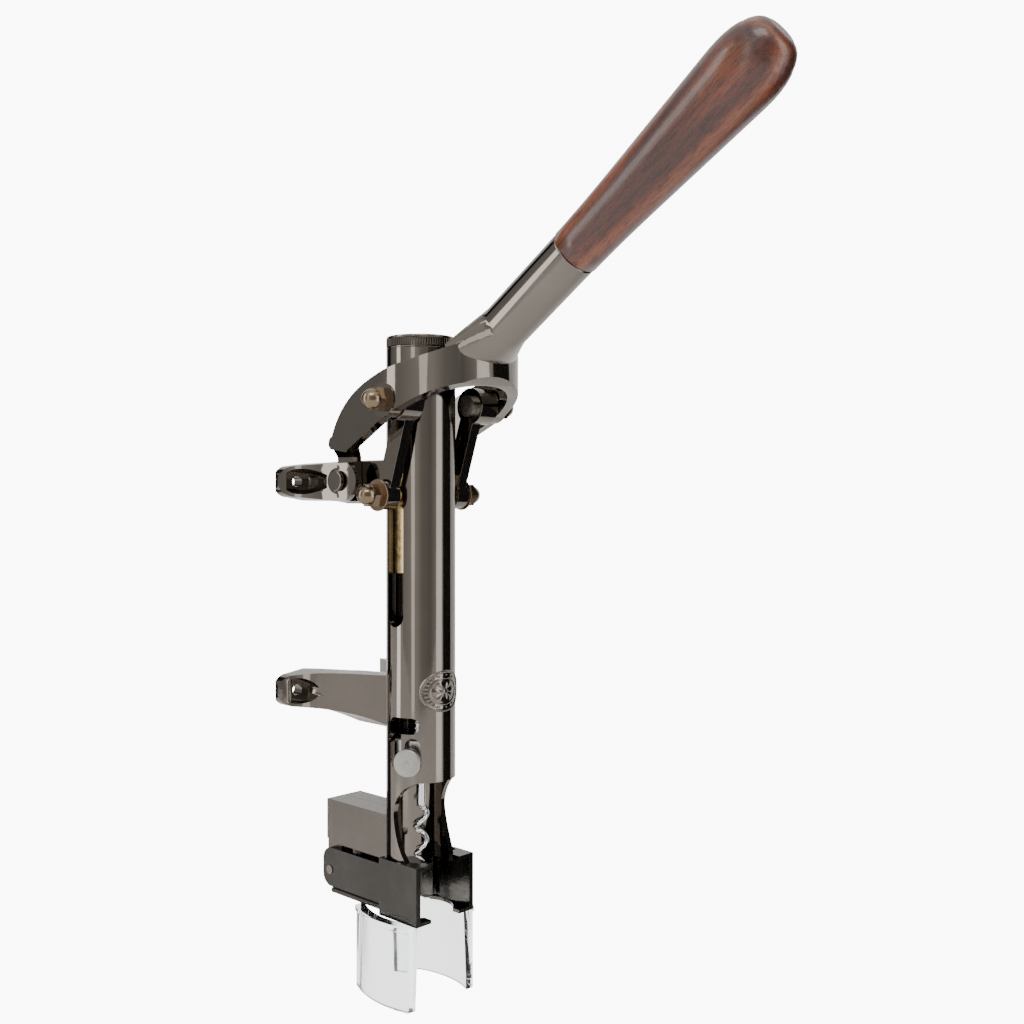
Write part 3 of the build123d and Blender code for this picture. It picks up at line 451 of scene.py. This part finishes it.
def clear_material():
    """Clear plastic, a little dulled where it is handled."""
    material = bpy.data.materials.new("clear moulding")
    material.use_nodes = True
    tree = material.node_tree
    shader = tree.nodes["Principled BSDF"]
    shader.inputs["Transmission Weight"].default_value = 1.0
    shader.inputs["IOR"].default_value = 1.45
    wear = add_node(tree, "ShaderNodeGroup", node_tree=marks)
    wear.inputs["Scale"].default_value = 60.0
    wear.inputs["Clean"].default_value = 0.02
    wear.inputs["Worn"].default_value = 0.09
    tint = add_node(tree, "ShaderNodeMix", {"Factor": wear.outputs["Mask"]}, data_type="RGBA")
    tint.inputs[6].default_value = (0.955, 0.975, 0.975, 1)
    tint.inputs[7].default_value = (0.93, 0.955, 0.96, 1)
    tree.links.new(tint.outputs[2], shader.inputs["Base Color"])
    tree.links.new(wear.outputs["Roughness"], shader.inputs["Roughness"])
    return material


wood = wood_material()
clear = clear_material()
print("wood and clear plastic ready")

# %% Every CAD node takes the material of its slot
finish = {
    "black_nickel": black_nickel,
    "bronze_nuts": bronze,
    "satin_steel": satin_steel,
    "steel": steel,
    "chromed_steel": chrome,
    "brass": brass,
    "dark_sheet": dark_sheet,
    "clear_plastic": clear,
    "stained_wood": wood,
}
slot_of = {part["node"]: part["material_slot"] for part in frame["record"]["subparts"]}


def paint(obj, material):
    obj.data.materials.clear()
    obj.data.materials.append(material)


for name, obj in nodes.items():
    paint(obj, finish[slot_of[name]])
print("painted", len(nodes))

# %% [markdown]
# Real castings have no knife edges. Each visible node gets a copy whose flat faces are merged, whose
# edges are rounded and whose normals are weighted by area, and the copy stands for the node.

# %% Rounded copies
def applied(obj):
    """The object's mesh with its modifiers built in and removed."""
    built = bpy.data.meshes.new_from_object(obj.evaluated_get(bpy.context.evaluated_depsgraph_get()))
    obj.modifiers.clear()
    obj.data = built
    return obj


def smooth(mesh, sharp_angle):
    """Smooth faces, with a crease where two faces meet at more than sharp_angle degrees."""
    shape = bmesh.new()
    shape.from_mesh(mesh)
    for face in shape.faces:
        face.smooth = True
    for edge in shape.edges:
        edge.smooth = len(edge.link_faces) == 2 and edge.calc_face_angle(0.0) < radians(sharp_angle)
    shape.to_mesh(mesh)
    shape.free()


MERGE_DISTANCE = 0.002 * MM
FLAT_ANGLE = 1.2
EDGE_ANGLE = 32
CREASE_ANGLE = 50


def rounded(name, width, material=None):
    """A copy of a CAD node with rounded edges, which rides and stands in its place."""
    mesh = nodes[name].data.copy()
    shape = bmesh.new()
    shape.from_mesh(mesh)
    bmesh.ops.remove_doubles(shape, verts=shape.verts, dist=MERGE_DISTANCE)
    bmesh.ops.dissolve_limit(shape, angle_limit=radians(FLAT_ANGLE), verts=shape.verts, edges=shape.edges)
    shape.to_mesh(mesh)
    shape.free()
    piece = link(bpy.data.objects.new(name + "_rounded", mesh))
    bevel = piece.modifiers.new("edges", "BEVEL")
    bevel.width = width * MM
    bevel.segments = 3
    bevel.limit_method = "ANGLE"
    bevel.angle_limit = radians(EDGE_ANGLE)
    bevel.use_clamp_overlap = True
    applied(piece)
    smooth(piece.data, CREASE_ANGLE)
    weighted = piece.modifiers.new("normals", "WEIGHTED_NORMAL")
    weighted.keep_sharp = True
    applied(piece)
    paint(piece, material or finish[slot_of[name]])
    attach(piece, body_of_node[name])
    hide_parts(name)
    return piece


# the rounding of each piece's edges, in millimetres
rounding = {
    "body_casting": 0.9, "lever_fork": 1.1, "link_left": 0.8, "link_right": 0.8,
    "frame_left": 0.5, "frame_right": 0.5, "frame_bottom_plate": 0.4, "neck_seat": 0.35,
    "lever_pivot_pins": 0.5, "upper_acorn_nuts": 0.45, "lower_acorn_nuts": 0.45,
    "lower_washers": 0.2, "housing_screws": 0.3, "guide_left": 0.45, "guide_right": 0.45,
}
for name, width in rounding.items():
    piece = rounded(name, width)
    print(piece.name, len(piece.data.polygons))
for name in ("rear_housing_left", "rear_housing_right"):
    rounded(name, 0.6, material=nickel_brushed)
paint(nodes["frame_hinge_pin"], black_nickel)

# %% [markdown]
# Turned parts are lathed from a profile of (radius, distance along the axis): the cap's disc, the latch
# knob, the spindle's rod and the grip.

# %% Lathe
def lathe(name, profile, origin, direction, steps=96, sharp_angle=40):
    """A closed turned solid; the profile starts and ends on the axis and runs up the direction."""
    up = Vector(direction).normalized()
    turn = Vector((0, 0, 1)).rotation_difference(up)
    shape = bmesh.new()
    rings = []
    for radius, along in profile:
        if radius == 0:
            rings.append([shape.verts.new(Vector(origin) + up * along)] * steps)
            continue
        ring = []
        for i in range(steps):
            a = 2 * pi * i / steps
            spot = turn @ Vector((radius * cos(a), radius * sin(a), along))
            ring.append(shape.verts.new(Vector(origin) + spot))
        rings.append(ring)
    for low, high in zip(rings, rings[1:]):
        for i in range(steps):
            corners = dict.fromkeys((low[i], low[(i + 1) % steps], high[(i + 1) % steps], high[i]))
            if len(corners) > 2:
                shape.faces.new(list(corners))
    bmesh.ops.recalc_face_normals(shape, faces=shape.faces)
    mesh = bpy.data.meshes.new(name)
    shape.to_mesh(mesh)
    shape.free()
    smooth(mesh, sharp_angle)
    return link(bpy.data.objects.new(name, mesh))


def arc(centre_r, centre_z, radius, start, end, steps=5):
    """Profile points on an arc, angles in degrees from the outward radius."""
    points = []
    for i in range(steps + 1):
        a = radians(start + (end - start) * i / steps)
        points.append((centre_r + radius * cos(a), centre_z + radius * sin(a)))
    return points


def hand_over(piece, node, material):
    """Paints the piece, puts it on the node's body and lets it stand for the node."""
    paint(piece, material)
    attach(piece, body_of_node[node])
    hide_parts(node)


# the grip's own profile, read off the model's widest radius at each place along it
grip_rows = {}
for v in grip_points:
    along = (v - grip_base).dot(handle_dir)
    radius = (v - grip_base - along * handle_dir).length
    key = round(along / MM)
    grip_rows[key] = max(grip_rows.get(key, 0.0), radius)
BORE_LIMIT = 6 * MM
GRIP_CHAMFER = 0.5 * MM
rows = sorted((key * MM, radius) for key, radius in grip_rows.items() if radius > BORE_LIMIT)
foot_r = rows[0][1]
grip_profile = [(0, 0), (foot_r - GRIP_CHAMFER, 0), (foot_r, GRIP_CHAMFER)]
grip_profile += [(radius, along) for along, radius in rows if along > 2 * MM]
grip_profile += [(0, grip_end - grip_start)]
grip = lathe("grip", grip_profile, grip_base, handle_dir, sharp_angle=70)
hand_over(grip, "handle_grip", wood)
print("grip rows", len(rows), rows[:2], rows[-2:])

# %% [markdown]
# The cap is a turned disc with a straight knurl. One ridge is a thin prism, and Geometry Nodes set a
# ring of them round the rim.

# %% Geometry Nodes helpers
def geometry_group(name, inputs):
    """An empty geometry group with a geometry output and named number inputs."""
    tree = bpy.data.node_groups.new(name, "GeometryNodeTree")
    tree.interface.new_socket("Geometry", in_out="INPUT", socket_type="NodeSocketGeometry")
    for label, kind, value in inputs:
        tree.interface.new_socket(label, in_out="INPUT", socket_type=kind).default_value = value
    tree.interface.new_socket("Geometry", in_out="OUTPUT", socket_type="NodeSocketGeometry")
    return tree, tree.nodes.new("NodeGroupInput"), tree.nodes.new("NodeGroupOutput")


def grow(name, tree, values, material):
    """A new piece grown by the group from nothing, with its inputs set by name."""
    piece = link(bpy.data.objects.new(name, bpy.data.meshes.new(name)))
    growth = piece.modifiers.new("growth", "NODES")
    growth.node_group = tree
    for item in tree.interface.items_tree:
        if item.in_out == "INPUT" and item.name in values:
            growth[item.identifier] = values[item.name]
    bpy.context.view_layer.update()
    applied(piece)
    paint(piece, material)
    return piece


def go_with(piece, node):
    """The piece rides with the node's body and shows beside the node's own piece."""
    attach(piece, body_of_node[node])


INT = "NodeSocketInt"
print("geometry helpers ready")

# %% Knurled cap
knurl, k_in, k_out = geometry_group(
    "knurl ring",
    [("Count", INT, 72), ("Radius", FLOAT, 0.016), ("Height", FLOAT, 0.004), ("Ridge", FLOAT, 0.0005),
     ("Axis Y", FLOAT, 0.0), ("Middle", FLOAT, 0.0)],
)
circle = add_node(knurl, "GeometryNodeMeshCircle",
                  {"Vertices": k_in.outputs["Count"], "Radius": k_in.outputs["Radius"]})
ridge = add_node(knurl, "GeometryNodeMeshCylinder",
                 {"Vertices": 8, "Radius": k_in.outputs["Ridge"], "Depth": k_in.outputs["Height"]})
ring = add_node(knurl, "GeometryNodeInstanceOnPoints",
                {"Points": circle.outputs["Mesh"], "Instance": ridge.outputs["Mesh"]})
ridges = add_node(knurl, "GeometryNodeRealizeInstances", {"Geometry": ring.outputs["Instances"]})
centre = add_node(knurl, "ShaderNodeCombineXYZ", {"Y": k_in.outputs["Axis Y"], "Z": k_in.outputs["Middle"]})
on_rim = add_node(knurl, "GeometryNodeTransform",
                  {"Geometry": ridges.outputs["Geometry"], "Translation": centre.outputs["Vector"]})
plated_rim = add_node(knurl, "GeometryNodeSetMaterial",
                      {"Geometry": on_rim.outputs["Geometry"], "Material": black_nickel})
knurl.links.new(plated_rim.outputs["Geometry"], k_out.inputs["Geometry"])

cap_top = cap_high.z
cap_shoulder = cap_top - 6.0 * MM
spigot_r = tube_r - 2.6 * MM
CAP_ROUND = 0.9 * MM
CAP_DISH = 0.25 * MM
dish_r = tube_r - 4.3 * MM
groove_r = tube_r - 0.45 * MM
groove_low = cap_shoulder + 1.1 * MM
groove_high = cap_top - 1.4 * MM
axis_at = Vector((axis_x, axis_y, 0))
disc_profile = [(0, cap_low.z), (spigot_r, cap_low.z), (spigot_r, cap_shoulder),
                (tube_r - 0.3 * MM, cap_shoulder), (tube_r, cap_shoulder + 0.3 * MM),
                (tube_r, cap_shoulder + 0.8 * MM), (groove_r, groove_low), (groove_r, groove_high),
                (tube_r - 0.1 * MM, groove_high + 0.3 * MM)]
disc_profile += arc(tube_r - CAP_ROUND, cap_top - CAP_ROUND, CAP_ROUND, 0, 90)
disc_profile += [(dish_r + 0.3 * MM, cap_top), (dish_r, cap_top - CAP_DISH), (0, cap_top - CAP_DISH)]
hand_over(lathe("cap", disc_profile, axis_at, (0, 0, 1), sharp_angle=50), "top_cap", black_nickel)
groove_height = groove_high - groove_low
cap_knurl = grow("cap_knurl", knurl,
                 {"Count": 84, "Radius": groove_r, "Height": groove_height, "Ridge": 0.48 * MM,
                  "Axis Y": axis_y, "Middle": (groove_low + groove_high) / 2}, black_nickel)
go_with(cap_knurl, "top_cap")
print("cap top", cap_top, "knurl faces", len(cap_knurl.data.polygons))

# %% [markdown]
# The oval badge is wrapped on the tube. Its rim, its rays and its beads are laid out flat, in (across,
# up), and then bent onto the tube, so nothing stands off the metal. The ornament is a plain flower.

# %% Badge
badge_low, badge_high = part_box("front_badge")
badge_half_w = (badge_high.x - badge_low.x) / 2
badge_half_h = (badge_high.z - badge_low.z) / 2
badge_z = (badge_high.z + badge_low.z) / 2

beads, b_in, b_out = geometry_group(
    "bead oval",
    [("Count", INT, 48), ("Half Width", FLOAT, 0.01), ("Half Height", FLOAT, 0.007), ("Bead", FLOAT, 0.0004),
     ("Tube Radius", FLOAT, 0.016), ("Axis Y", FLOAT, 0.0), ("Middle", FLOAT, 0.0)],
)
flat = add_node(beads, "GeometryNodeMeshCircle", {"Vertices": b_in.outputs["Count"], "Radius": 1.0})
where = add_node(beads, "GeometryNodeInputPosition")
parts = add_node(beads, "ShaderNodeSeparateXYZ", {"Vector": where.outputs["Position"]})


def bead_math(operation, *values):
    """A number worked out inside the bead tree."""
    return add_node(beads, "ShaderNodeMath", dict(enumerate(values)), operation=operation).outputs[0]


across = bead_math("MULTIPLY", parts.outputs["X"], b_in.outputs["Half Width"])
turn_by = bead_math("DIVIDE", across, b_in.outputs["Tube Radius"])
bent_x = bead_math("MULTIPLY", bead_math("SINE", turn_by), b_in.outputs["Tube Radius"])
forward = bead_math("MULTIPLY", bead_math("COSINE", turn_by), b_in.outputs["Tube Radius"])
bent_y = bead_math("SUBTRACT", b_in.outputs["Axis Y"], forward)
bent_z = bead_math("MULTIPLY_ADD", parts.outputs["Y"], b_in.outputs["Half Height"], b_in.outputs["Middle"])
bent = add_node(beads, "ShaderNodeCombineXYZ", {"X": bent_x, "Y": bent_y, "Z": bent_z})
spread = add_node(beads, "GeometryNodeSetPosition",
                  {"Geometry": flat.outputs["Mesh"], "Position": bent.outputs["Vector"]})
bead = add_node(beads, "GeometryNodeMeshIcoSphere", {"Radius": b_in.outputs["Bead"], "Subdivisions": 2})
laid = add_node(beads, "GeometryNodeInstanceOnPoints",
                {"Points": spread.outputs["Geometry"], "Instance": bead.outputs["Mesh"]})
row_of_beads = add_node(beads, "GeometryNodeRealizeInstances", {"Geometry": laid.outputs["Instances"]})
plated_beads = add_node(beads, "GeometryNodeSetMaterial",
                        {"Geometry": row_of_beads.outputs["Geometry"], "Material": black_nickel})
beads.links.new(plated_beads.outputs["Geometry"], b_out.inputs["Geometry"])


RIM_AT = 0.93
PLATE_HEIGHT = 0.25 * MM
PLATE_SINK = 0.02 * MM


def badge_height(u, v):
    """Height of the relief at (across, up), each in parts of the badge's half size."""
    r = (u * u + v * v) ** 0.5
    a = atan2(v, u)
    rim = max(0.0, 1 - abs(r - RIM_AT) / 0.07)
    inner_rim = max(0.0, 1 - abs(r - 0.62) / 0.05)
    petals = max(0.0, cos(3 * a) ** 2 - 0.25) * max(0.0, 1 - (r - 0.30) ** 2 / 0.06) if r < 0.58 else 0.0
    button = max(0.0, 1 - (r / 0.13) ** 2) ** 0.5 if r < 0.13 else 0.0
    ticks = 0.5 * max(0.0, cos(26 * a)) * max(0.0, 1 - abs(r - 0.775) / 0.08)
    edge = min(1.0, (1 - r) / 0.03)
    carved = 0.34 * rim + 0.26 * inner_rim + 0.42 * petals + 0.5 * button + 0.30 * ticks
    return edge * (PLATE_HEIGHT + MM * carved)


def relief_plate(name, rings, sectors):
    """The badge's face: rings of points from its middle out, each bent onto the tube."""
    shape = bmesh.new()
    layers = []
    for i in range(rings + 1):
        r = i / rings
        layer = []
        for j in range(sectors):
            a = 2 * pi * j / sectors
            u, v = r * cos(a), r * sin(a)
            angle = u * badge_half_w / tube_r
            reach = tube_r - PLATE_SINK + badge_height(u, v)
            spot = (reach * sin(angle), axis_y - reach * cos(angle), badge_z + v * badge_half_h)
            layer.append(shape.verts.new(spot))
            if i == 0:
                layer *= sectors
                break
        layers.append(layer)
    for low, high in zip(layers, layers[1:]):
        for j in range(sectors):
            corners = dict.fromkeys((low[j], high[j], high[(j + 1) % sectors], low[(j + 1) % sectors]))
            shape.faces.new(list(corners))
    mesh = bpy.data.meshes.new(name)
    shape.to_mesh(mesh)
    shape.free()
    for face in mesh.polygons:
        face.use_smooth = True
    return link(bpy.data.objects.new(name, mesh))


hand_over(relief_plate("badge", 70, 200), "front_badge", black_nickel)
badge_beads = grow("badge_beads", beads,
                   {"Count": 54, "Half Width": badge_half_w * RIM_AT, "Half Height": badge_half_h * RIM_AT,
                    "Bead": 0.42 * MM, "Tube Radius": tube_r + 0.45 * MM, "Axis Y": axis_y,
                    "Middle": badge_z}, black_nickel)
go_with(badge_beads, "front_badge")
print("badge", badge_half_w, badge_half_h, badge_z)

# %% [markdown]
# The worm is one round wire: a straight shank out of the spindle, turns that open out from it, and a
# ground point. Its path and its thickness are curve points, and the wire is swept along them.

# %% Worm
worm_low, worm_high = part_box("worm")
worm_r = (worm_high.x - worm_low.x) / 2
WIRE_R = 1.25 * MM
SHANK_R = 2.2 * MM
SHANK_LENGTH = 15 * MM
WORM_PITCH = 12.5 * MM
OPENING_LENGTH = 5 * MM
POINT_LENGTH = 11 * MM
POINT_GAP = 0.4 * MM
spindle_low, spindle_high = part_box("spindle")
spindle_end = spindle_low.z


def wire(name, points, material, resolution=8):
    """A round wire through (place, radius) points, built as a mesh."""
    data = bpy.data.curves.new(name, "CURVE")
    data.dimensions = "3D"
    data.bevel_depth = 1.0
    data.bevel_resolution = resolution
    data.use_fill_caps = True
    spline = data.splines.new("POLY")
    spline.points.add(len(points) - 1)
    for point, (place, radius) in zip(spline.points, points):
        point.co = (*place, 1)
        point.radius = radius
    curve = link(bpy.data.objects.new(name + "_path", data))
    mesh = bpy.data.meshes.new_from_object(curve.evaluated_get(bpy.context.evaluated_depsgraph_get()))
    bpy.data.objects.remove(curve)
    piece = link(bpy.data.objects.new(name, mesh))
    smooth(mesh, CREASE_ANGLE)
    paint(piece, material)
    return piece


def worm_point(z):
    """Place and thickness of the worm's wire at height z."""
    turn = 2 * pi * (z - worm_low.z) / WORM_PITCH
    below_shank = spindle_end - SHANK_LENGTH + 1 * MM - z
    opened = min(1.0, max(0.0, below_shank / OPENING_LENGTH))
    opened = opened * opened * (3 - 2 * opened)
    reach = (worm_r - WIRE_R) * opened
    from_tip = min(1.0, (z - worm_low.z) / POINT_LENGTH)
    ground = 0.12 + 0.88 * from_tip ** 0.6
    thickness = SHANK_R + (WIRE_R - SHANK_R) * opened
    return (axis_x + reach * cos(turn), axis_y + reach * sin(turn), z), thickness * ground


WORM_STEPS = 420
worm_start = worm_low.z + POINT_GAP
worm_rows = [worm_point(worm_start + (worm_high.z - worm_start) * i / WORM_STEPS)
             for i in range(WORM_STEPS + 1)]
hand_over(wire("worm_wire", worm_rows, chrome), "worm", chrome)
print("worm", worm_low.z, worm_high.z, "spindle end", spindle_end)

# %% [markdown]
# The spindle has a steep thread of several starts. One start is a spiral wire half sunk in the rod, and
# Geometry Nodes turn copies of it round the axis.

# %% Spindle thread
thread, t_in, t_out = geometry_group(
    "steep thread",
    [("Starts", INT, 5), ("Radius", FLOAT, 0.004), ("Rib", FLOAT, 0.0007), ("Height", FLOAT, 0.08),
     ("Turns", FLOAT, 6.0), ("Low", FLOAT, 0.0), ("Axis Y", FLOAT, 0.0)],
)
spiral = add_node(thread, "GeometryNodeCurveSpiral",
                  {"Resolution": 28, "Rotations": t_in.outputs["Turns"],
                   "Start Radius": t_in.outputs["Radius"], "End Radius": t_in.outputs["Radius"],
                   "Height": t_in.outputs["Height"]})
section = add_node(thread, "GeometryNodeCurvePrimitiveCircle",
                   {"Resolution": 8, "Radius": t_in.outputs["Rib"]})
rib = add_node(thread, "GeometryNodeCurveToMesh",
               {"Curve": spiral.outputs["Curve"], "Profile Curve": section.outputs["Curve"],
                "Fill Caps": True})
starts = add_node(thread, "GeometryNodeMeshLine", {"Count": t_in.outputs["Starts"]})
starts.inputs["Offset"].default_value = (0, 0, 0)
number = add_node(thread, "GeometryNodeInputIndex")
share = add_node(thread, "ShaderNodeMath",
                 {0: number.outputs["Index"], 1: t_in.outputs["Starts"]}, operation="DIVIDE")
angle = add_node(thread, "ShaderNodeMath", {0: share.outputs[0], 1: 2 * pi}, operation="MULTIPLY")
turned = add_node(thread, "ShaderNodeCombineXYZ", {"Z": angle.outputs[0]})
copies = add_node(thread, "GeometryNodeInstanceOnPoints",
                  {"Points": starts.outputs["Mesh"], "Instance": rib.outputs["Mesh"],
                   "Rotation": turned.outputs["Vector"]})
ribs = add_node(thread, "GeometryNodeRealizeInstances", {"Geometry": copies.outputs["Instances"]})
base = add_node(thread, "ShaderNodeCombineXYZ", {"Y": t_in.outputs["Axis Y"], "Z": t_in.outputs["Low"]})
on_rod = add_node(thread, "GeometryNodeTransform",
                  {"Geometry": ribs.outputs["Geometry"], "Translation": base.outputs["Vector"]})
plated_ribs = add_node(thread, "GeometryNodeSetMaterial",
                       {"Geometry": on_rod.outputs["Geometry"], "Material": chrome})
thread.links.new(plated_ribs.outputs["Geometry"], t_out.inputs["Geometry"])

ROD_R = 4.3 * MM
carriage_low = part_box("carriage")[0]
thread_top = carriage_low.z - 5 * MM
thread_low = spindle_end + 2 * MM
thread_height = thread_top - thread_low
THREAD_FOOT_R = ROD_R - 0.6 * MM
COLLAR_R = 6 * MM
JOURNAL_R = 4 * MM
collar_low = carriage_low.z - 4.1 * MM
collar_high = carriage_low.z - 1.2 * MM
FACE_RISE = 0.05 * MM
rod_profile = [(0, spindle_end), (THREAD_FOOT_R - 1.0 * MM, spindle_end),
               (THREAD_FOOT_R, spindle_end + 0.7 * MM), (THREAD_FOOT_R, thread_top),
               (ROD_R, thread_top + 0.3 * MM), (ROD_R, collar_low), (COLLAR_R, collar_low + FACE_RISE),
               (COLLAR_R, collar_high), (JOURNAL_R, collar_high + FACE_RISE),
               (JOURNAL_R, spindle_high.z - 0.6 * MM), (JOURNAL_R - 0.6 * MM, spindle_high.z),
               (0, spindle_high.z)]
hand_over(lathe("rod", rod_profile, axis_at, (0, 0, 1), steps=48), "spindle", chrome)
spindle_thread = grow("spindle_thread", thread,
                      {"Starts": 5, "Radius": ROD_R - 0.75 * MM, "Rib": 0.72 * MM,
                       "Height": thread_height, "Turns": thread_height / WORM_PITCH,
                       "Low": thread_low, "Axis Y": axis_y}, chrome)
go_with(spindle_thread, "spindle")
print("thread", thread_low, thread_top, len(spindle_thread.data.polygons))

# %% [markdown]
# The latch knob is a turned steel button with a rolled rim and a small centre mark. It stands on the
# side of the tube, so its lathe axis is the direction that the model's own knob points in.

# %% Latch knob
knob_points = [v.co.copy() for v in nodes["latch_knob"].data.vertices]
knob_middle = sum(knob_points, Vector()) / len(knob_points)
knob_out = Vector((knob_middle.x - axis_x, knob_middle.y - axis_y, 0)).normalized()
knob_reach = [(v - Vector((axis_x, axis_y, knob_middle.z))).dot(knob_out) for v in knob_points]
knob_in, knob_face = min(knob_reach), max(knob_reach)
knob_low, knob_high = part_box("latch_knob")
knob_r = (knob_high.z - knob_low.z) / 2
knob_mid_z = (knob_high.z + knob_low.z) / 2
BACK_ROUND = 0.7 * MM
RIM_ROUND = 0.8 * MM
MARK_R = 1.0 * MM
knob_back = knob_in + 0.1 * MM
knob_profile = [(0, knob_back), (knob_r - BACK_ROUND, knob_back)]
knob_profile += arc(knob_r - BACK_ROUND, knob_back + BACK_ROUND, BACK_ROUND, -90, 0)
knob_profile += arc(knob_r - RIM_ROUND, knob_face - RIM_ROUND, RIM_ROUND, 0, 90)
knob_profile += [(knob_r - 1.4 * MM, knob_face - 0.12 * MM), (MARK_R, knob_face - 0.05 * MM),
                 (MARK_R - 0.2 * MM, knob_face - 0.4 * MM), (0, knob_face - 0.55 * MM)]
knob = lathe("knob", knob_profile, (axis_x, axis_y, knob_mid_z), knob_out, steps=64, sharp_angle=60)
hand_over(knob, "latch_knob", satin_steel)
print("knob radius", knob_r, "reach", knob_in, knob_face)
